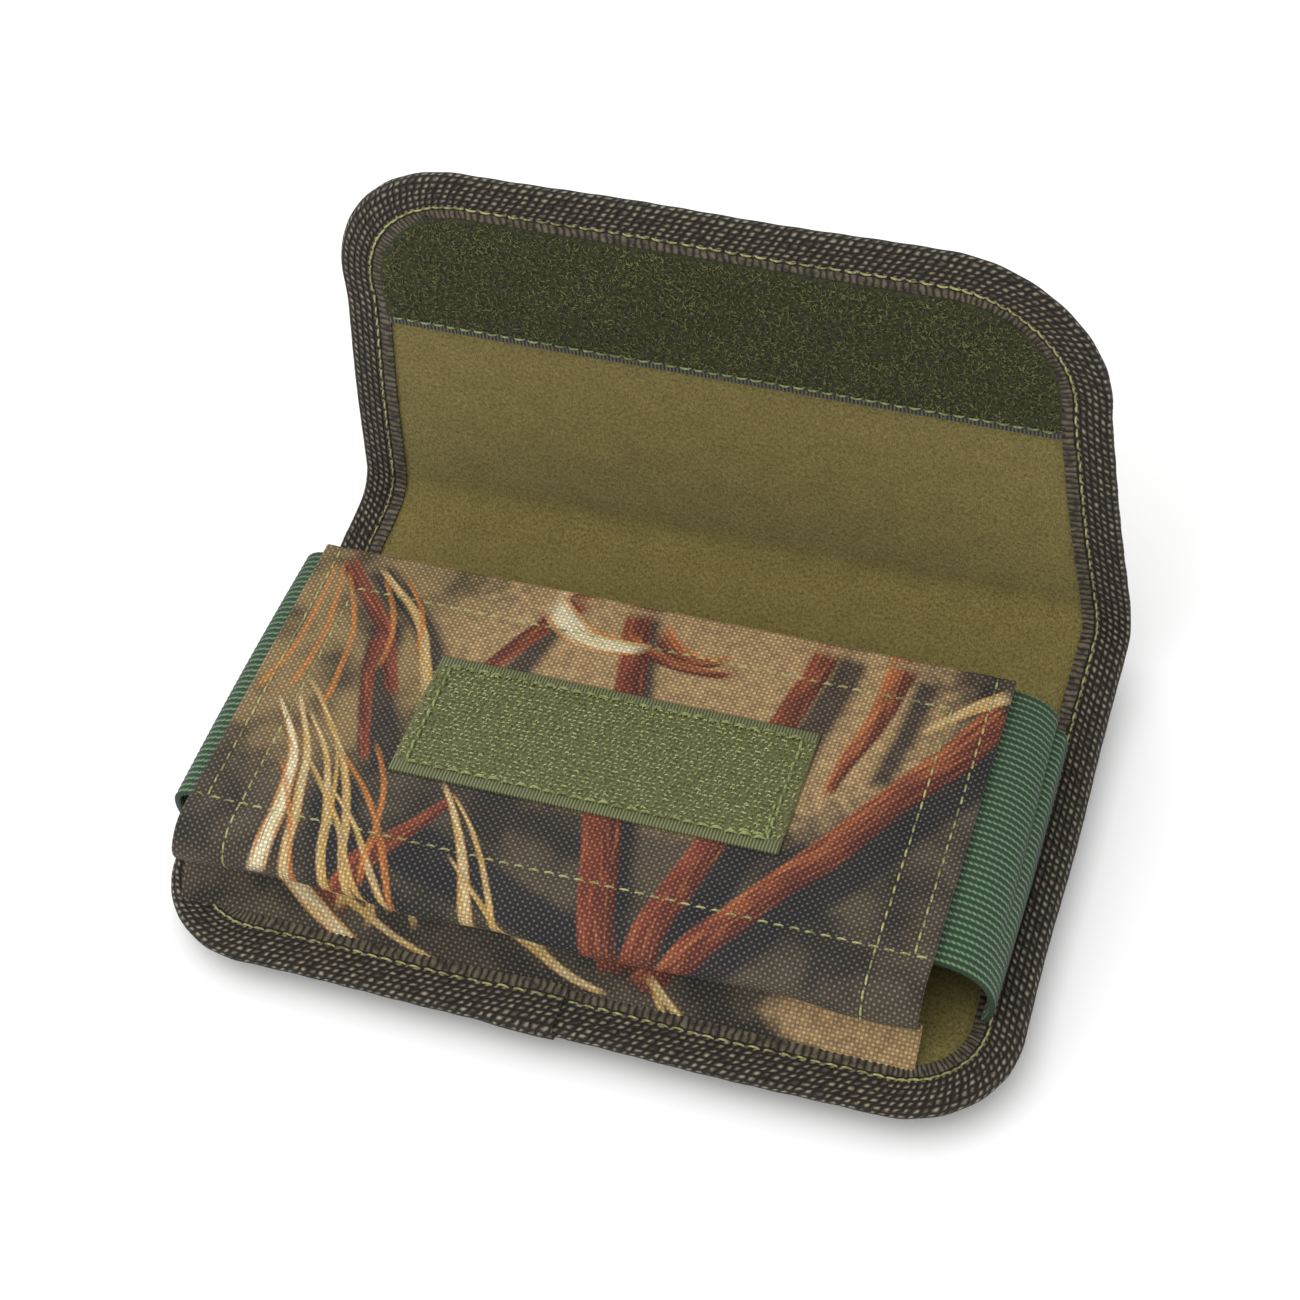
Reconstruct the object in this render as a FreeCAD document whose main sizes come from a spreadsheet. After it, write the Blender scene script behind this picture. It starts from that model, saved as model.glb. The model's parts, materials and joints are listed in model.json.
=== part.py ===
import FreeCAD, Part
import os
import re
import Sketcher

# A belt pouch for a phone, worn sideways: one long stiffened panel is the back,
# the spine and the flap, bound all round with woven tape; a padded front is hung
# on it by two elastic gussets and a soft bottom wall.  Hook and loop closes it.
#
# Frame: +X along the width, +Y from the bottom edge towards the spine, +Z up.
# It lies on its belt loops with the flap standing open.  The origin is the
# bottom centre of the bounding box.  Lengths in mm, angles in degrees.

doc = FreeCAD.newDocument("phone_pouch")

# ---------------------------------------------------------------- driving sizes
sizes = doc.addObject("Spreadsheet::Sheet", "Sizes")
SIZES = [
    # the long panel
    ("panelWide", 174, "width of back, spine and flap over the binding"),
    ("bodyLong", 101, "back panel, bottom edge to the first fold"),
    ("flapLong", 93, "flap, second fold to its free edge"),
    ("flapTaper", 6, "how much each side of the flap runs in at the free edge"),
    ("backRound", 23, "corner radius at the bottom edge"),
    ("flapRound", 32, "corner radius at the free edge of the flap"),
    ("clothThick", 0.6, "printed outer cloth"),
    ("boardThick", 1.2, "stiffening board"),
    ("liningThick", 0.6, "brushed lining"),
    ("foldClear", 0.2, "spare gap beside a fold line"),
    ("spineLean", 10, "spine above level as it lies open"),
    ("flapRise", 80, "flap above the spine as it lies open"),
    # the binding tape
    ("bindWide", 10, "tape width seen on each face"),
    ("bindSkin", 0.6, "tape thickness"),
    ("bindSeam", 6.6, "seam, in from the outer edge"),
    # thread
    ("threadWide", 0.6, "width of a row of stitches"),
    ("threadHigh", 0.35, "how proud a row of stitches stands"),
    # front
    ("sideMargin", 12, "front narrower than the back, each side"),
    ("foldSet", 18.5, "soft bottom fold, in from the bottom edge"),
    ("frontLift", 16.6, "clear depth between the two linings"),
    ("frontShift", -6, "how far the soft front leans to one side"),
    ("mouthSet", 7.5, "mouth edge, back from the first fold"),
    ("frontCloth", 0.7, "front outer cloth"),
    ("frontBoard", 0.8, "front stiffener"),
    ("frontLining", 0.5, "front lining"),
    ("sideSeamOut", 3.3, "outer side seam, in from the front's edge"),
    ("sideSeamIn", 10.5, "inner side seam, in from the front's edge"),
    ("topSeam", 10.3, "seam below the mouth edge"),
    ("bottomSeam", 4.6, "seam across the bottom, up from the soft fold"),
    # hook and loop
    ("hookWide", 80, "hook patch along the width"),
    ("hookTall", 31, "hook patch across"),
    ("hookThick", 1.8, "hook patch"),
    ("hookLower", -0.35, "hook patch below the middle of the seamed field"),
    ("hookShift", 1, "hook patch off the middle of the front"),
    ("hookSeam", 2.6, "seam round the hook patch"),
    ("loopTall", 31, "loop strip across"),
    ("loopThick", 2.2, "loop strip with its pile"),
    ("closeClear", 1.5, "gap between hook and loop with the flap closed"),
    # elastic and bottom wall
    ("footLap", 1.3, "how far a gusset's or the wall's foot stands onto the binding"),
    ("elasticThick", 1.4, "ribbed elastic"),
    ("gussetShort", 6.5, "gusset shorter than the front"),
    ("gussetBulge", 3.4, "how far a gusset bows out"),
    ("gussetSlant", 8, "how far its foot lies nearer the bottom edge"),
    ("gussetTuck", 9, "how far it runs in under the front"),
    ("wallThick", 0.8, "bottom wall cloth"),
    ("wallOut", 6.5, "how far the bottom wall stands outside the front's fold"),
    # belt loops
    ("beltWeb", 1.2, "belt loop webbing"),
    ("beltTunnel", 4.8, "clear height for the belt"),
    ("beltWide", 25, "webbing width"),
    ("beltTab", 7.5, "sewn end of a belt loop"),
    ("beltRamp", 4, "slope between the sewn end and the flat part"),
    ("beltApart", 92, "centre to centre of the two loops"),
    ("beltFoot", 0.5, "lower end of a belt loop, in from the binding"),
    ("beltHead", 3.5, "upper end of a belt loop, short of the first fold"),
]
for row, (alias, value, note) in enumerate(SIZES, 1):
    sizes.set("A%d" % row, note)
    sizes.set("B%d" % row, str(value))
    sizes.setAlias("B%d" % row, alias)
doc.recompute()

ALIASES = {alias for alias, _, _ in SIZES}


def tie(text):
    """Turn a formula in plain size names into one that reads the sheet."""
    return re.sub(r"[A-Za-z]+", lambda m: "Sizes." + m.group() if m.group() in ALIASES
                  else m.group(), text)


def value_of(text):
    got = sizes.evalExpression(tie(text))
    return float(getattr(got, "Value", got))


# ---------------------------------------------------------------- derived heights
SAND = "(clothThick + boardThick + liningThick)"
BIND = "(%s + 2 * bindSkin)" % SAND
Z_BACK = "(beltWeb + beltTunnel)"                  # outer face of the back cloth
Z_MID = "(%s + %s / 2)" % (Z_BACK, SAND)           # middle of the back panel
Z_LINED = "(%s + %s)" % (Z_BACK, SAND)             # inner face of the back lining
Z_FOOT = "(%s + %s / 2)" % (Z_MID, BIND)           # inner face of the back binding
FOLD = "(%s / 2 + foldClear)" % BIND               # panel edge, back from a fold line
SEAM_END = "(%s + threadHigh + foldClear)" % FOLD  # a seam ends here, clear of the fold
Z_FRONT = "(%s + frontLift)" % Z_LINED             # inner face of the front lining
Z_TOP = "(%s + frontLining + frontBoard + frontCloth)" % Z_FRONT
FRONT_END = "(bodyLong - foldSet)"                 # soft bottom fold
FRONT_STACK = "(frontLining + frontBoard + frontCloth)"
SPINE = "(%s + frontLift + %s + hookThick + loopThick + closeClear)" % (SAND, FRONT_STACK)
FRONT_LONG = "(bodyLong - mouthSet - foldSet)"     # mouth to the soft bottom fold
FRONT_WIDE = "(panelWide - 2 * sideMargin)"
GUSSET = "(%s - gussetShort)" % FRONT_LONG
BELT_SPAN = "(bodyLong - bindWide - beltFoot - beltHead - 2 * (beltTab + beltRamp))"
BELT_SET = "((bodyLong - bindWide - beltFoot + beltHead) / 2)"
CENTRE = "((bodyLong - %s * cos(spineLean * 1 deg) - %s / 2) / 2)" % (SPINE, BIND)

# Where each group of pieces stands: offset and tilt about X.
PLACES = {
    "pouch": ("0", CENTRE, "0", "0"),
    "spine": ("0", CENTRE, Z_MID, "spineLean"),
    "flap": ("0", "%s + %s * cos(spineLean * 1 deg)" % (CENTRE, SPINE),
             "%s + %s * sin(spineLean * 1 deg)" % (Z_MID, SPINE), "spineLean + flapRise"),
}

NODES = []


def new_body(label, group):
    """An empty body, standing where its group stands."""
    body = doc.addObject("PartDesign::Body", label)
    body.Label = label
    x, y, z, tilt = PLACES[group]
    body.Placement = FreeCAD.Placement(FreeCAD.Vector(0, 0, 0),
                                       FreeCAD.Rotation(FreeCAD.Vector(1, 0, 0), 1))
    for path, text in (("Base.x", x), ("Base.y", y), ("Base.z", z)):
        body.setExpression("Placement." + path, tie(text))
    body.setExpression("Placement.Rotation.Angle", tie(tilt))
    NODES.append(body)
    return body


def profile(body, name, plane, corners, offset="0"):
    """A closed outline; a corner is (x, y) or (x, y, radius, centre x, centre y) where an
    arc of that radius runs on to the next corner."""
    sketch = body.newObject("Sketcher::SketchObject", name)
    origin = [o for o in body.Origin.OriginFeatures if o.Role == plane][0]
    sketch.AttachmentSupport = [(origin, "")]
    sketch.MapMode = "FlatFace"
    sketch.setExpression("AttachmentOffset.Base.z", tie(offset))
    points = [FreeCAD.Vector(value_of(c[0]), value_of(c[1]), 0) for c in corners]
    count = len(corners)
    ends = []
    for i, corner in enumerate(corners):
        a, b = points[i], points[(i + 1) % count]
        if len(corner) == 2:
            geo = sketch.addGeometry(Part.LineSegment(a, b), False)
            ends.append((geo, 1, 2))
            continue
        centre = FreeCAD.Vector(value_of(corner[3]), value_of(corner[4]), 0)
        circle = Part.Circle(centre, FreeCAD.Vector(0, 0, 1), value_of(corner[2]))
        first, last = circle.parameter(a), circle.parameter(b)
        turn = (last - first) % 6.283185307
        if turn < 3.2:
            geo = sketch.addGeometry(Part.ArcOfCircle(circle, first, first + turn), False)
            ends.append((geo, 1, 2))
        else:
            geo = sketch.addGeometry(Part.ArcOfCircle(circle, last, last + 6.283185307 - turn),
                                     False)
            ends.append((geo, 2, 1))
    for i in range(count):
        g1, _, e1 = ends[i]
        g2, s2, _ = ends[(i + 1) % count]
        sketch.addConstraint(Sketcher.Constraint("Coincident", g1, e1, g2, s2))
    for i, corner in enumerate(corners):
        geo, start, _ = ends[i]
        for kind, text, at in (("DistanceX", corner[0], points[i].x),
                               ("DistanceY", corner[1], points[i].y)):
            n = sketch.addConstraint(Sketcher.Constraint(kind, -1, 1, geo, start, at))
            sketch.setExpression("Constraints[%d]" % n, tie(text))
        if len(corner) > 2:
            n = sketch.addConstraint(Sketcher.Constraint("Radius", geo, value_of(corner[2])))
            sketch.setExpression("Constraints[%d]" % n, tie(corner[2]))
    return sketch


def pad(body, name, plane, corners, thick, offset="0"):
    sketch = profile(body, name + "_outline", plane, corners, offset)
    feature = body.newObject("PartDesign::Pad", name)
    feature.Profile = sketch
    feature.setExpression("Length", tie(thick))
    return feature


def pocket(body, name, plane, corners, deep, offset="0"):
    """Cut against the plane's normal, from the offset, this deep."""
    sketch = profile(body, name + "_outline", plane, corners, offset)
    doc.recompute()
    before = body.Shape.Volume
    feature = body.newObject("PartDesign::Pocket", name)
    feature.Profile = sketch
    feature.setExpression("Length", tie(deep))
    doc.recompute()
    if body.Shape.Volume > before - 1e-6:
        raise RuntimeError("%s cut nothing" % name)
    return feature


def rectangle(x0, x1, y0, y1):
    return [(x0, y0), (x1, y0), (x1, y1), (x0, y1)]


# ---------------------------------------------------------------- panel outlines
def back_outline(inset, top="-%s" % FOLD):
    """The back panel, this far in from its outer edge, open end at the first fold."""
    half = "(panelWide / 2 - (%s))" % inset
    low = "(-bodyLong + (%s))" % inset
    bend = "(max(backRound - (%s); 1))" % inset
    return [
        ("-(%s - %s)" % (half, bend), low),
        ("(%s - %s)" % (half, bend), low, bend, "(%s - %s)" % (half, bend),
         "(%s + %s)" % (low, bend)),
        (half, "(%s + %s)" % (low, bend)),
        (half, top),
        ("-" + half, top),
        ("-" + half, "(%s + %s)" % (low, bend), bend, "-(%s - %s)" % (half, bend),
         "(%s + %s)" % (low, bend)),
    ]


def flap_outline(inset, low=FOLD):
    """The flap, this far in from its outer edge, open end at the second fold."""
    half = "(panelWide / 2 - (%s))" % inset
    wide = "(%s + flapTaper * (%s - (%s)) / (flapLong - flapRound - %s))" % (
        half, FOLD, low, FOLD)
    tip = "(%s - flapTaper)" % half
    high = "(flapLong - (%s))" % inset
    bend = "(max(flapRound - (%s); 1))" % inset
    return [
        ("-" + wide, low),
        (wide, low),
        (tip, "(%s - %s)" % (high, bend), bend, "(%s - %s)" % (tip, bend),
         "(%s - %s)" % (high, bend)),
        ("(%s - %s)" % (tip, bend), high),
        ("-(%s - %s)" % (tip, bend), high, bend, "-(%s - %s)" % (tip, bend),
         "(%s - %s)" % (high, bend)),
        ("-" + tip, "(%s - %s)" % (high, bend)),
    ]


def spine_outline(inset, low=FOLD, high="(%s - %s)" % (SPINE, FOLD)):
    half = "(panelWide / 2 - (%s))" % inset
    return rectangle("-" + half, half, low, high)


# ---------------------------------------------------------------- the laminated panel
# Outer cloth, board and lining stack up from the outer face; the tape grips all three.
for group, outline, base in (("back", back_outline, Z_BACK),
                             ("spine", spine_outline, "-%s / 2" % SAND),
                             ("flap", flap_outline, "-%s / 2" % SAND)):
    home = "pouch" if group == "back" else group
    for layer, thick, lift in (("cloth", "clothThick", "0"),
                               ("board", "boardThick", "clothThick"),
                               ("lining", "liningThick", "clothThick + boardThick")):
        body = new_body("%s_%s" % (group, layer), home)
        pad(body, "%s_%s_sheet" % (group, layer), "XY_Plane", outline("bindSkin"), thick,
            "%s + %s" % (base, lift))

# The binding on the back and on the flap: a U of folded tape with a slot for the stack.
# The slot and the middle run out past the fold, so the U stays open there.
for group, outline, middle, past, short in (
        ("back", back_outline, Z_MID, {"top": "-%s + 1" % FOLD}, {"top": "-" + SEAM_END}),
        ("flap", flap_outline, "0", {"low": "%s - 1" % FOLD}, {"low": SEAM_END})):
    home = "pouch" if group == "back" else group
    body = new_body(group + "_binding", home)
    pad(body, group + "_tape", "XY_Plane", outline("0"), BIND, "%s - %s / 2" % (middle, BIND))
    pocket(body, group + "_tape_middle", "XY_Plane", outline("bindWide", **past),
           BIND + " + 2", "%s + %s / 2 + 1" % (middle, BIND))
    pocket(body, group + "_tape_slot", "XY_Plane", outline("bindSkin", **past), SAND,
           "%s + %s / 2" % (middle, SAND))
    seam = new_body(group + "_binding_thread", home)
    pad(seam, group + "_seam", "XY_Plane", outline("bindSeam", **short), "threadHigh",
        "%s + %s / 2" % (middle, BIND))
    pocket(seam, group + "_seam_middle", "XY_Plane", outline("bindSeam + threadWide", **past),
           "threadHigh + 2", "%s + %s / 2 + threadHigh + 1" % (middle, BIND))

# The same tape along the two short sides of the spine.
for side, sign in (("left", "-"), ("right", "")):
    rim = "%s(panelWide / 2)" % sign
    inner = "%s(panelWide / 2 - bindWide)" % sign
    slot = "%s(panelWide / 2 - bindSkin)" % sign
    past = "%s(panelWide / 2 - bindWide - 1)" % sign
    low, high = FOLD, "(%s - %s)" % (SPINE, FOLD)
    body = new_body("spine_binding_" + side, "spine")
    pad(body, "spine_tape_" + side, "XY_Plane", rectangle(rim, inner, low, high), BIND,
        "-%s / 2" % BIND)
    pocket(body, "spine_tape_slot_" + side, "XY_Plane",
           rectangle(slot, past, low + " - 1", high + " + 1"), SAND, "%s / 2" % SAND)
    seam = new_body("spine_thread_" + side, "spine")
    pad(seam, "spine_seam_" + side, "XY_Plane",
        rectangle("%s(panelWide / 2 - bindSeam)" % sign,
                  "%s(panelWide / 2 - bindSeam - threadWide)" % sign,
                  SEAM_END, "(%s - %s)" % (SPINE, SEAM_END)),
        "threadHigh", "%s / 2" % BIND)

# ---------------------------------------------------------------- loop strip on the flap
STRIP_TOP = "(flapLong - bindWide)"
STRIP_LOW = "(flapLong - bindWide - loopTall)"
STRIP_HALF = "(panelWide / 2 - bindWide - flapTaper)"
STRIP_BEND = "(max(flapRound - bindWide; 1))"
body = new_body("loop_strip", "flap")
pad(body, "loop_tape", "XY_Plane", [
    ("-" + STRIP_HALF, STRIP_LOW),
    (STRIP_HALF, STRIP_LOW),
    (STRIP_HALF, "(%s - %s)" % (STRIP_TOP, STRIP_BEND), STRIP_BEND,
     "(%s - %s)" % (STRIP_HALF, STRIP_BEND), "(%s - %s)" % (STRIP_TOP, STRIP_BEND)),
    ("(%s - %s)" % (STRIP_HALF, STRIP_BEND), STRIP_TOP),
    ("-(%s - %s)" % (STRIP_HALF, STRIP_BEND), STRIP_TOP, STRIP_BEND,
     "-(%s - %s)" % (STRIP_HALF, STRIP_BEND), "(%s - %s)" % (STRIP_TOP, STRIP_BEND)),
    ("-" + STRIP_HALF, "(%s - %s)" % (STRIP_TOP, STRIP_BEND)),
], "loopThick", SAND + " / 2")
seam = new_body("loop_strip_thread", "flap")
pad(seam, "loop_seam", "XY_Plane",
    rectangle("-" + STRIP_HALF, STRIP_HALF, STRIP_LOW + " + 1",
              STRIP_LOW + " + 1 + threadWide"), "threadHigh", SAND + " / 2 + loopThick")

# ---------------------------------------------------------------- the front
F_LEFT = "(frontShift - %s / 2)" % FRONT_WIDE
F_RIGHT = "(frontShift + %s / 2)" % FRONT_WIDE
for layer, thick, lift, inset in (
        ("lining", "frontLining", "0", "0.4"),
        ("board", "frontBoard", "frontLining", "1"),
        ("cloth", "frontCloth", "frontLining + frontBoard", "0")):
    body = new_body("front_" + layer, "pouch")
    pad(body, "front_%s_sheet" % layer, "XY_Plane",
        rectangle("%s + %s" % (F_LEFT, inset), "%s - %s" % (F_RIGHT, inset),
                  "-%s" % FRONT_END, "-mouthSet - " + inset), thick,
        "%s + %s" % (Z_FRONT, lift))

# The patch lies midway between the top and bottom seams.
HOOK_TOP = ("(-mouthSet - (topSeam + %s - bottomSeam - hookTall) / 2 - hookLower)"
            % FRONT_LONG)
HOOK_LOW = "(%s - hookTall)" % HOOK_TOP
HOOK_LEFT = "(frontShift + hookShift - hookWide / 2)"
HOOK_RIGHT = "(frontShift + hookShift + hookWide / 2)"
body = new_body("hook_patch", "pouch")
pad(body, "hook_tape", "XY_Plane", rectangle(HOOK_LEFT, HOOK_RIGHT, HOOK_LOW, HOOK_TOP),
    "hookThick", Z_TOP)
seam = new_body("hook_patch_thread", "pouch")
for name, inset, make, thick, base in (
        ("hook_seam", "hookSeam", pad, "threadHigh", Z_TOP + " + hookThick"),
        ("hook_seam_middle", "(hookSeam + threadWide)", pocket, "threadHigh + 1",
         Z_TOP + " + hookThick + threadHigh + 0.5")):
    make(seam, name, "XY_Plane",
         rectangle("%s + %s" % (HOOK_LEFT, inset), "%s - %s" % (HOOK_RIGHT, inset),
                   "%s + %s" % (HOOK_LOW, inset), "%s - %s" % (HOOK_TOP, inset)), thick, base)

# Rows of stitching on the front: across the bottom, up both sides twice, across the top.
seam = new_body("front_thread", "pouch")
pad(seam, "seam_bottom", "XY_Plane",
    rectangle(F_LEFT, F_RIGHT, "-%s + bottomSeam - threadWide" % FRONT_END,
              "-%s + bottomSeam" % FRONT_END),
    "threadHigh", Z_TOP)
for name, edge, sign, inset in (("outer_left", F_LEFT, "+", "sideSeamOut"),
                                ("inner_left", F_LEFT, "+", "sideSeamIn"),
                                ("outer_right", F_RIGHT, "-", "sideSeamOut"),
                                ("inner_right", F_RIGHT, "-", "sideSeamIn")):
    low = "-%s" % FRONT_END + ("" if name.startswith("inner") else " + bottomSeam")
    pad(seam, "seam_" + name, "XY_Plane",
        rectangle("%s %s %s" % (edge, sign, inset),
                  "%s %s (%s + threadWide)" % (edge, sign, inset), low,
                  "-mouthSet - 1"), "threadHigh", Z_TOP)
pad(seam, "seam_top", "XY_Plane",
    rectangle(F_LEFT + " + sideSeamIn", F_RIGHT + " - sideSeamIn",
              "-mouthSet - topSeam - threadWide", "-mouthSet - topSeam"), "threadHigh", Z_TOP)

# ---------------------------------------------------------------- elastic gussets
# Ribbed elastic: in under the front, out and down in a quarter round, foot on the inner
# edge of the binding.
TUCK_TOP = Z_FRONT
for side, sign, edge in (("left", "-", "-" + F_LEFT), ("right", "", F_RIGHT)):
    foot = "(panelWide / 2 - bindWide + footLap)"
    bulge = "(max(%s; %s) + gussetBulge)" % (edge, foot)
    span = "(%s - %s)" % (TUCK_TOP, Z_FOOT)
    outer = [
        ("(%s - gussetTuck)" % edge, TUCK_TOP),
        ("(%s - 1.5)" % edge, TUCK_TOP),
        ("(%s + (%s - %s) * 0.62)" % (edge, bulge, edge), "(%s - %s * 0.12)" % (TUCK_TOP, span)),
        (bulge, "(%s - %s * 0.38)" % (TUCK_TOP, span)),
        ("(%s - (%s - %s) * 0.3)" % (bulge, bulge, foot), "(%s - %s * 0.72)" % (TUCK_TOP, span)),
        (foot, Z_FOOT),
    ]
    inner = [
        ("(%s - elasticThick)" % foot, Z_FOOT),
        ("(%s - (%s - %s) * 0.3 - elasticThick)" % (bulge, bulge, foot),
         "(%s - %s * 0.72)" % (TUCK_TOP, span)),
        ("(%s - elasticThick)" % bulge, "(%s - %s * 0.38)" % (TUCK_TOP, span)),
        ("(%s + (%s - %s) * 0.62 - elasticThick * 0.8)" % (edge, bulge, edge),
         "(%s - %s * 0.12 - elasticThick * 0.9)" % (TUCK_TOP, span)),
        ("(%s - 1.7)" % edge, "(%s - elasticThick)" % TUCK_TOP),
        ("(%s - gussetTuck)" % edge, "(%s - elasticThick)" % TUCK_TOP),
    ]
    corners = [("%s%s" % (sign, x), z) for x, z in outer + inner]
    body = new_body("gusset_" + side, "pouch")
    pad(body, "elastic_" + side, "XZ_Plane", corners, GUSSET + " + gussetSlant", "mouthSet + 1")
    # Both ends run on a slant: the foot lies nearer the bottom edge.
    low, high = Z_LINED + " - 1", TUCK_TOP + " + 1"
    pocket(body, "mouth_slant_" + side, "YZ_Plane",
           [("-mouthSet", low), ("-mouthSet", high), ("-mouthSet - 1 - gussetSlant", low)],
           "3 * panelWide", "1.5 * panelWide")
    pocket(body, "foot_slant_" + side, "YZ_Plane",
           [("-mouthSet - 1 - " + GUSSET, high),
            ("-mouthSet - 3 - gussetSlant - " + GUSSET, high),
            ("-mouthSet - 3 - gussetSlant - " + GUSSET, low),
            ("-mouthSet - 1 - gussetSlant - " + GUSSET, low)],
           "3 * panelWide", "1.5 * panelWide")

# ---------------------------------------------------------------- bottom wall
# The front's cloth runs on over a soft fold, down and under the bottom binding.
WALL_TOP = "(-%s)" % FRONT_END
WALL_FOOT = "(-bodyLong + bindWide - footLap)"
Z_CREASE = "(%s + frontLift * 0.36)" % Z_LINED
outer = [
    (WALL_TOP, Z_TOP),
    ("(%s - 0.45 * wallOut)" % WALL_TOP, "(%s - 1.2)" % Z_TOP),
    ("(%s - 0.85 * wallOut)" % WALL_TOP, "(%s - 4.6)" % Z_TOP),
    ("(%s - wallOut)" % WALL_TOP, "(%s - 9)" % Z_TOP),
    ("(%s - 0.72 * wallOut)" % WALL_TOP, Z_CREASE),
    (WALL_FOOT, Z_FOOT),
]
inner = [
    ("(%s + wallThick)" % WALL_FOOT, Z_FOOT),
    ("(%s - 0.72 * wallOut + wallThick)" % WALL_TOP, Z_CREASE),
    ("(%s - wallOut + wallThick)" % WALL_TOP, "(%s - 9)" % Z_TOP),
    ("(%s - 0.85 * wallOut + 0.8 * wallThick)" % WALL_TOP, "(%s - 4.9)" % Z_TOP),
    ("(%s - 0.45 * wallOut + 0.3 * wallThick)" % WALL_TOP, "(%s - 1.2 - wallThick)" % Z_TOP),
    (WALL_TOP, "(%s - wallThick)" % Z_TOP),
]
body = new_body("bottom_wall", "pouch")
pad(body, "bottom_cloth", "YZ_Plane", outer + inner, FRONT_WIDE, F_LEFT)
# Its two lower corners step over the seam where the binding turns its corners.
TURN = "(panelWide / 2 - backRound + 2)"
for name, near, far in (
        ("step_left", "%s - 1" % F_LEFT, "max(%s + 1; -%s)" % (F_LEFT, TURN)),
        ("step_right", "min(%s - 1; %s)" % (F_RIGHT, TURN), "%s + 1" % F_RIGHT)):
    pocket(body, name, "XZ_Plane",
           rectangle(near, far, Z_FOOT + " - 1", Z_FOOT + " + threadHigh + foldClear / 2"),
           "bindWide + wallOut + 5", "bodyLong + 1")

# ---------------------------------------------------------------- belt loops
REACH = "(%s / 2 + beltRamp + beltTab)" % BELT_SPAN
for side, sign in (("left", "-"), ("right", "")):
    middle = "%s(beltApart / 2)" % sign
    low_y = "(-%s - %s)" % (BELT_SET, REACH)
    high_y = "(-%s + %s)" % (BELT_SET, REACH)
    corners = [
        (low_y, "(%s - beltWeb)" % Z_BACK),
        ("(%s + beltTab)" % low_y, "(%s - beltWeb)" % Z_BACK),
        ("(%s + beltTab + beltRamp)" % low_y, "0"),
        ("(%s - beltTab - beltRamp)" % high_y, "0"),
        ("(%s - beltTab)" % high_y, "(%s - beltWeb)" % Z_BACK),
        (high_y, "(%s - beltWeb)" % Z_BACK),
        (high_y, Z_BACK),
        ("(%s - beltTab - 0.6)" % high_y, Z_BACK),
        ("(%s - beltTab - beltRamp - 0.6)" % high_y, "beltWeb"),
        ("(%s + beltTab + beltRamp + 0.6)" % low_y, "beltWeb"),
        ("(%s + beltTab + 0.6)" % low_y, Z_BACK),
        (low_y, Z_BACK),
    ]
    body = new_body("belt_loop_" + side, "pouch")
    pad(body, "webbing_" + side, "YZ_Plane", corners, "beltWide", middle + " - beltWide / 2")
    for end, y0 in (("lower", "(%s + 1.5)" % low_y), ("upper", "(%s - beltTab + 1.5)" % high_y)):
        name = "belt_tack_%s_%s" % (side, end)
        tack = new_body(name, "pouch")
        x0, x1 = middle + " - beltWide / 2 + 2", middle + " + beltWide / 2 - 2"
        y1 = y0 + " + beltTab - 3"
        under = "%s - beltWeb - threadHigh" % Z_BACK
        pad(tack, name + "_box", "XY_Plane", rectangle(x0, x1, y0, y1), "threadHigh", under)
        pocket(tack, name + "_middle", "XY_Plane",
               rectangle(x0 + " + threadWide", x1 + " - threadWide", y0 + " + threadWide",
                         y1 + " - threadWide"), "threadHigh + 1", under + " + threadHigh + 0.5")

# ---------------------------------------------------------------- check and write
doc.recompute()
for thing in doc.Objects:
    if "Invalid" in thing.State or "Error" in thing.State:
        raise RuntimeError("%s failed: %s" % (thing.Label, thing.State))
os.makedirs("parts", exist_ok=True)
for body in NODES:
    shape = body.Shape
    if shape.isNull() or not shape.isValid() or len(shape.Solids) != 1:
        raise RuntimeError("%s is not one valid solid: %s, %d solids" % (
            body.Label, shape.isValid(), len(shape.Solids)))
for body in NODES:
    body.Shape.exportStep("parts/%s.step" % body.Label)
box = Part.makeCompound([body.Shape for body in NODES]).BoundBox
print("%d nodes, box X %.2f..%.2f  Y %.2f..%.2f  Z %.2f..%.2f" % (
    len(NODES), box.XMin, box.XMax, box.YMin, box.YMax, box.ZMin, box.ZMax))
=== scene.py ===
# %% [markdown]
# # A belt pouch for a phone, in printed cloth
# One long stiffened panel is the back, the spine and the flap. Woven tape binds its edge all
# round. A front with a soft bottom fold is hung on it by two ribbed elastic gussets, and hook and
# loop closes it. Everything is built round the imported CAD model, which is the fixed frame: the
# lengths below are read from its nodes, and most new pieces ride on one of its bodies.

# %% The frame
import json
import math
import random

import bmesh
import bpy
import numpy as np
from mathutils import Matrix, Vector


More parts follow.
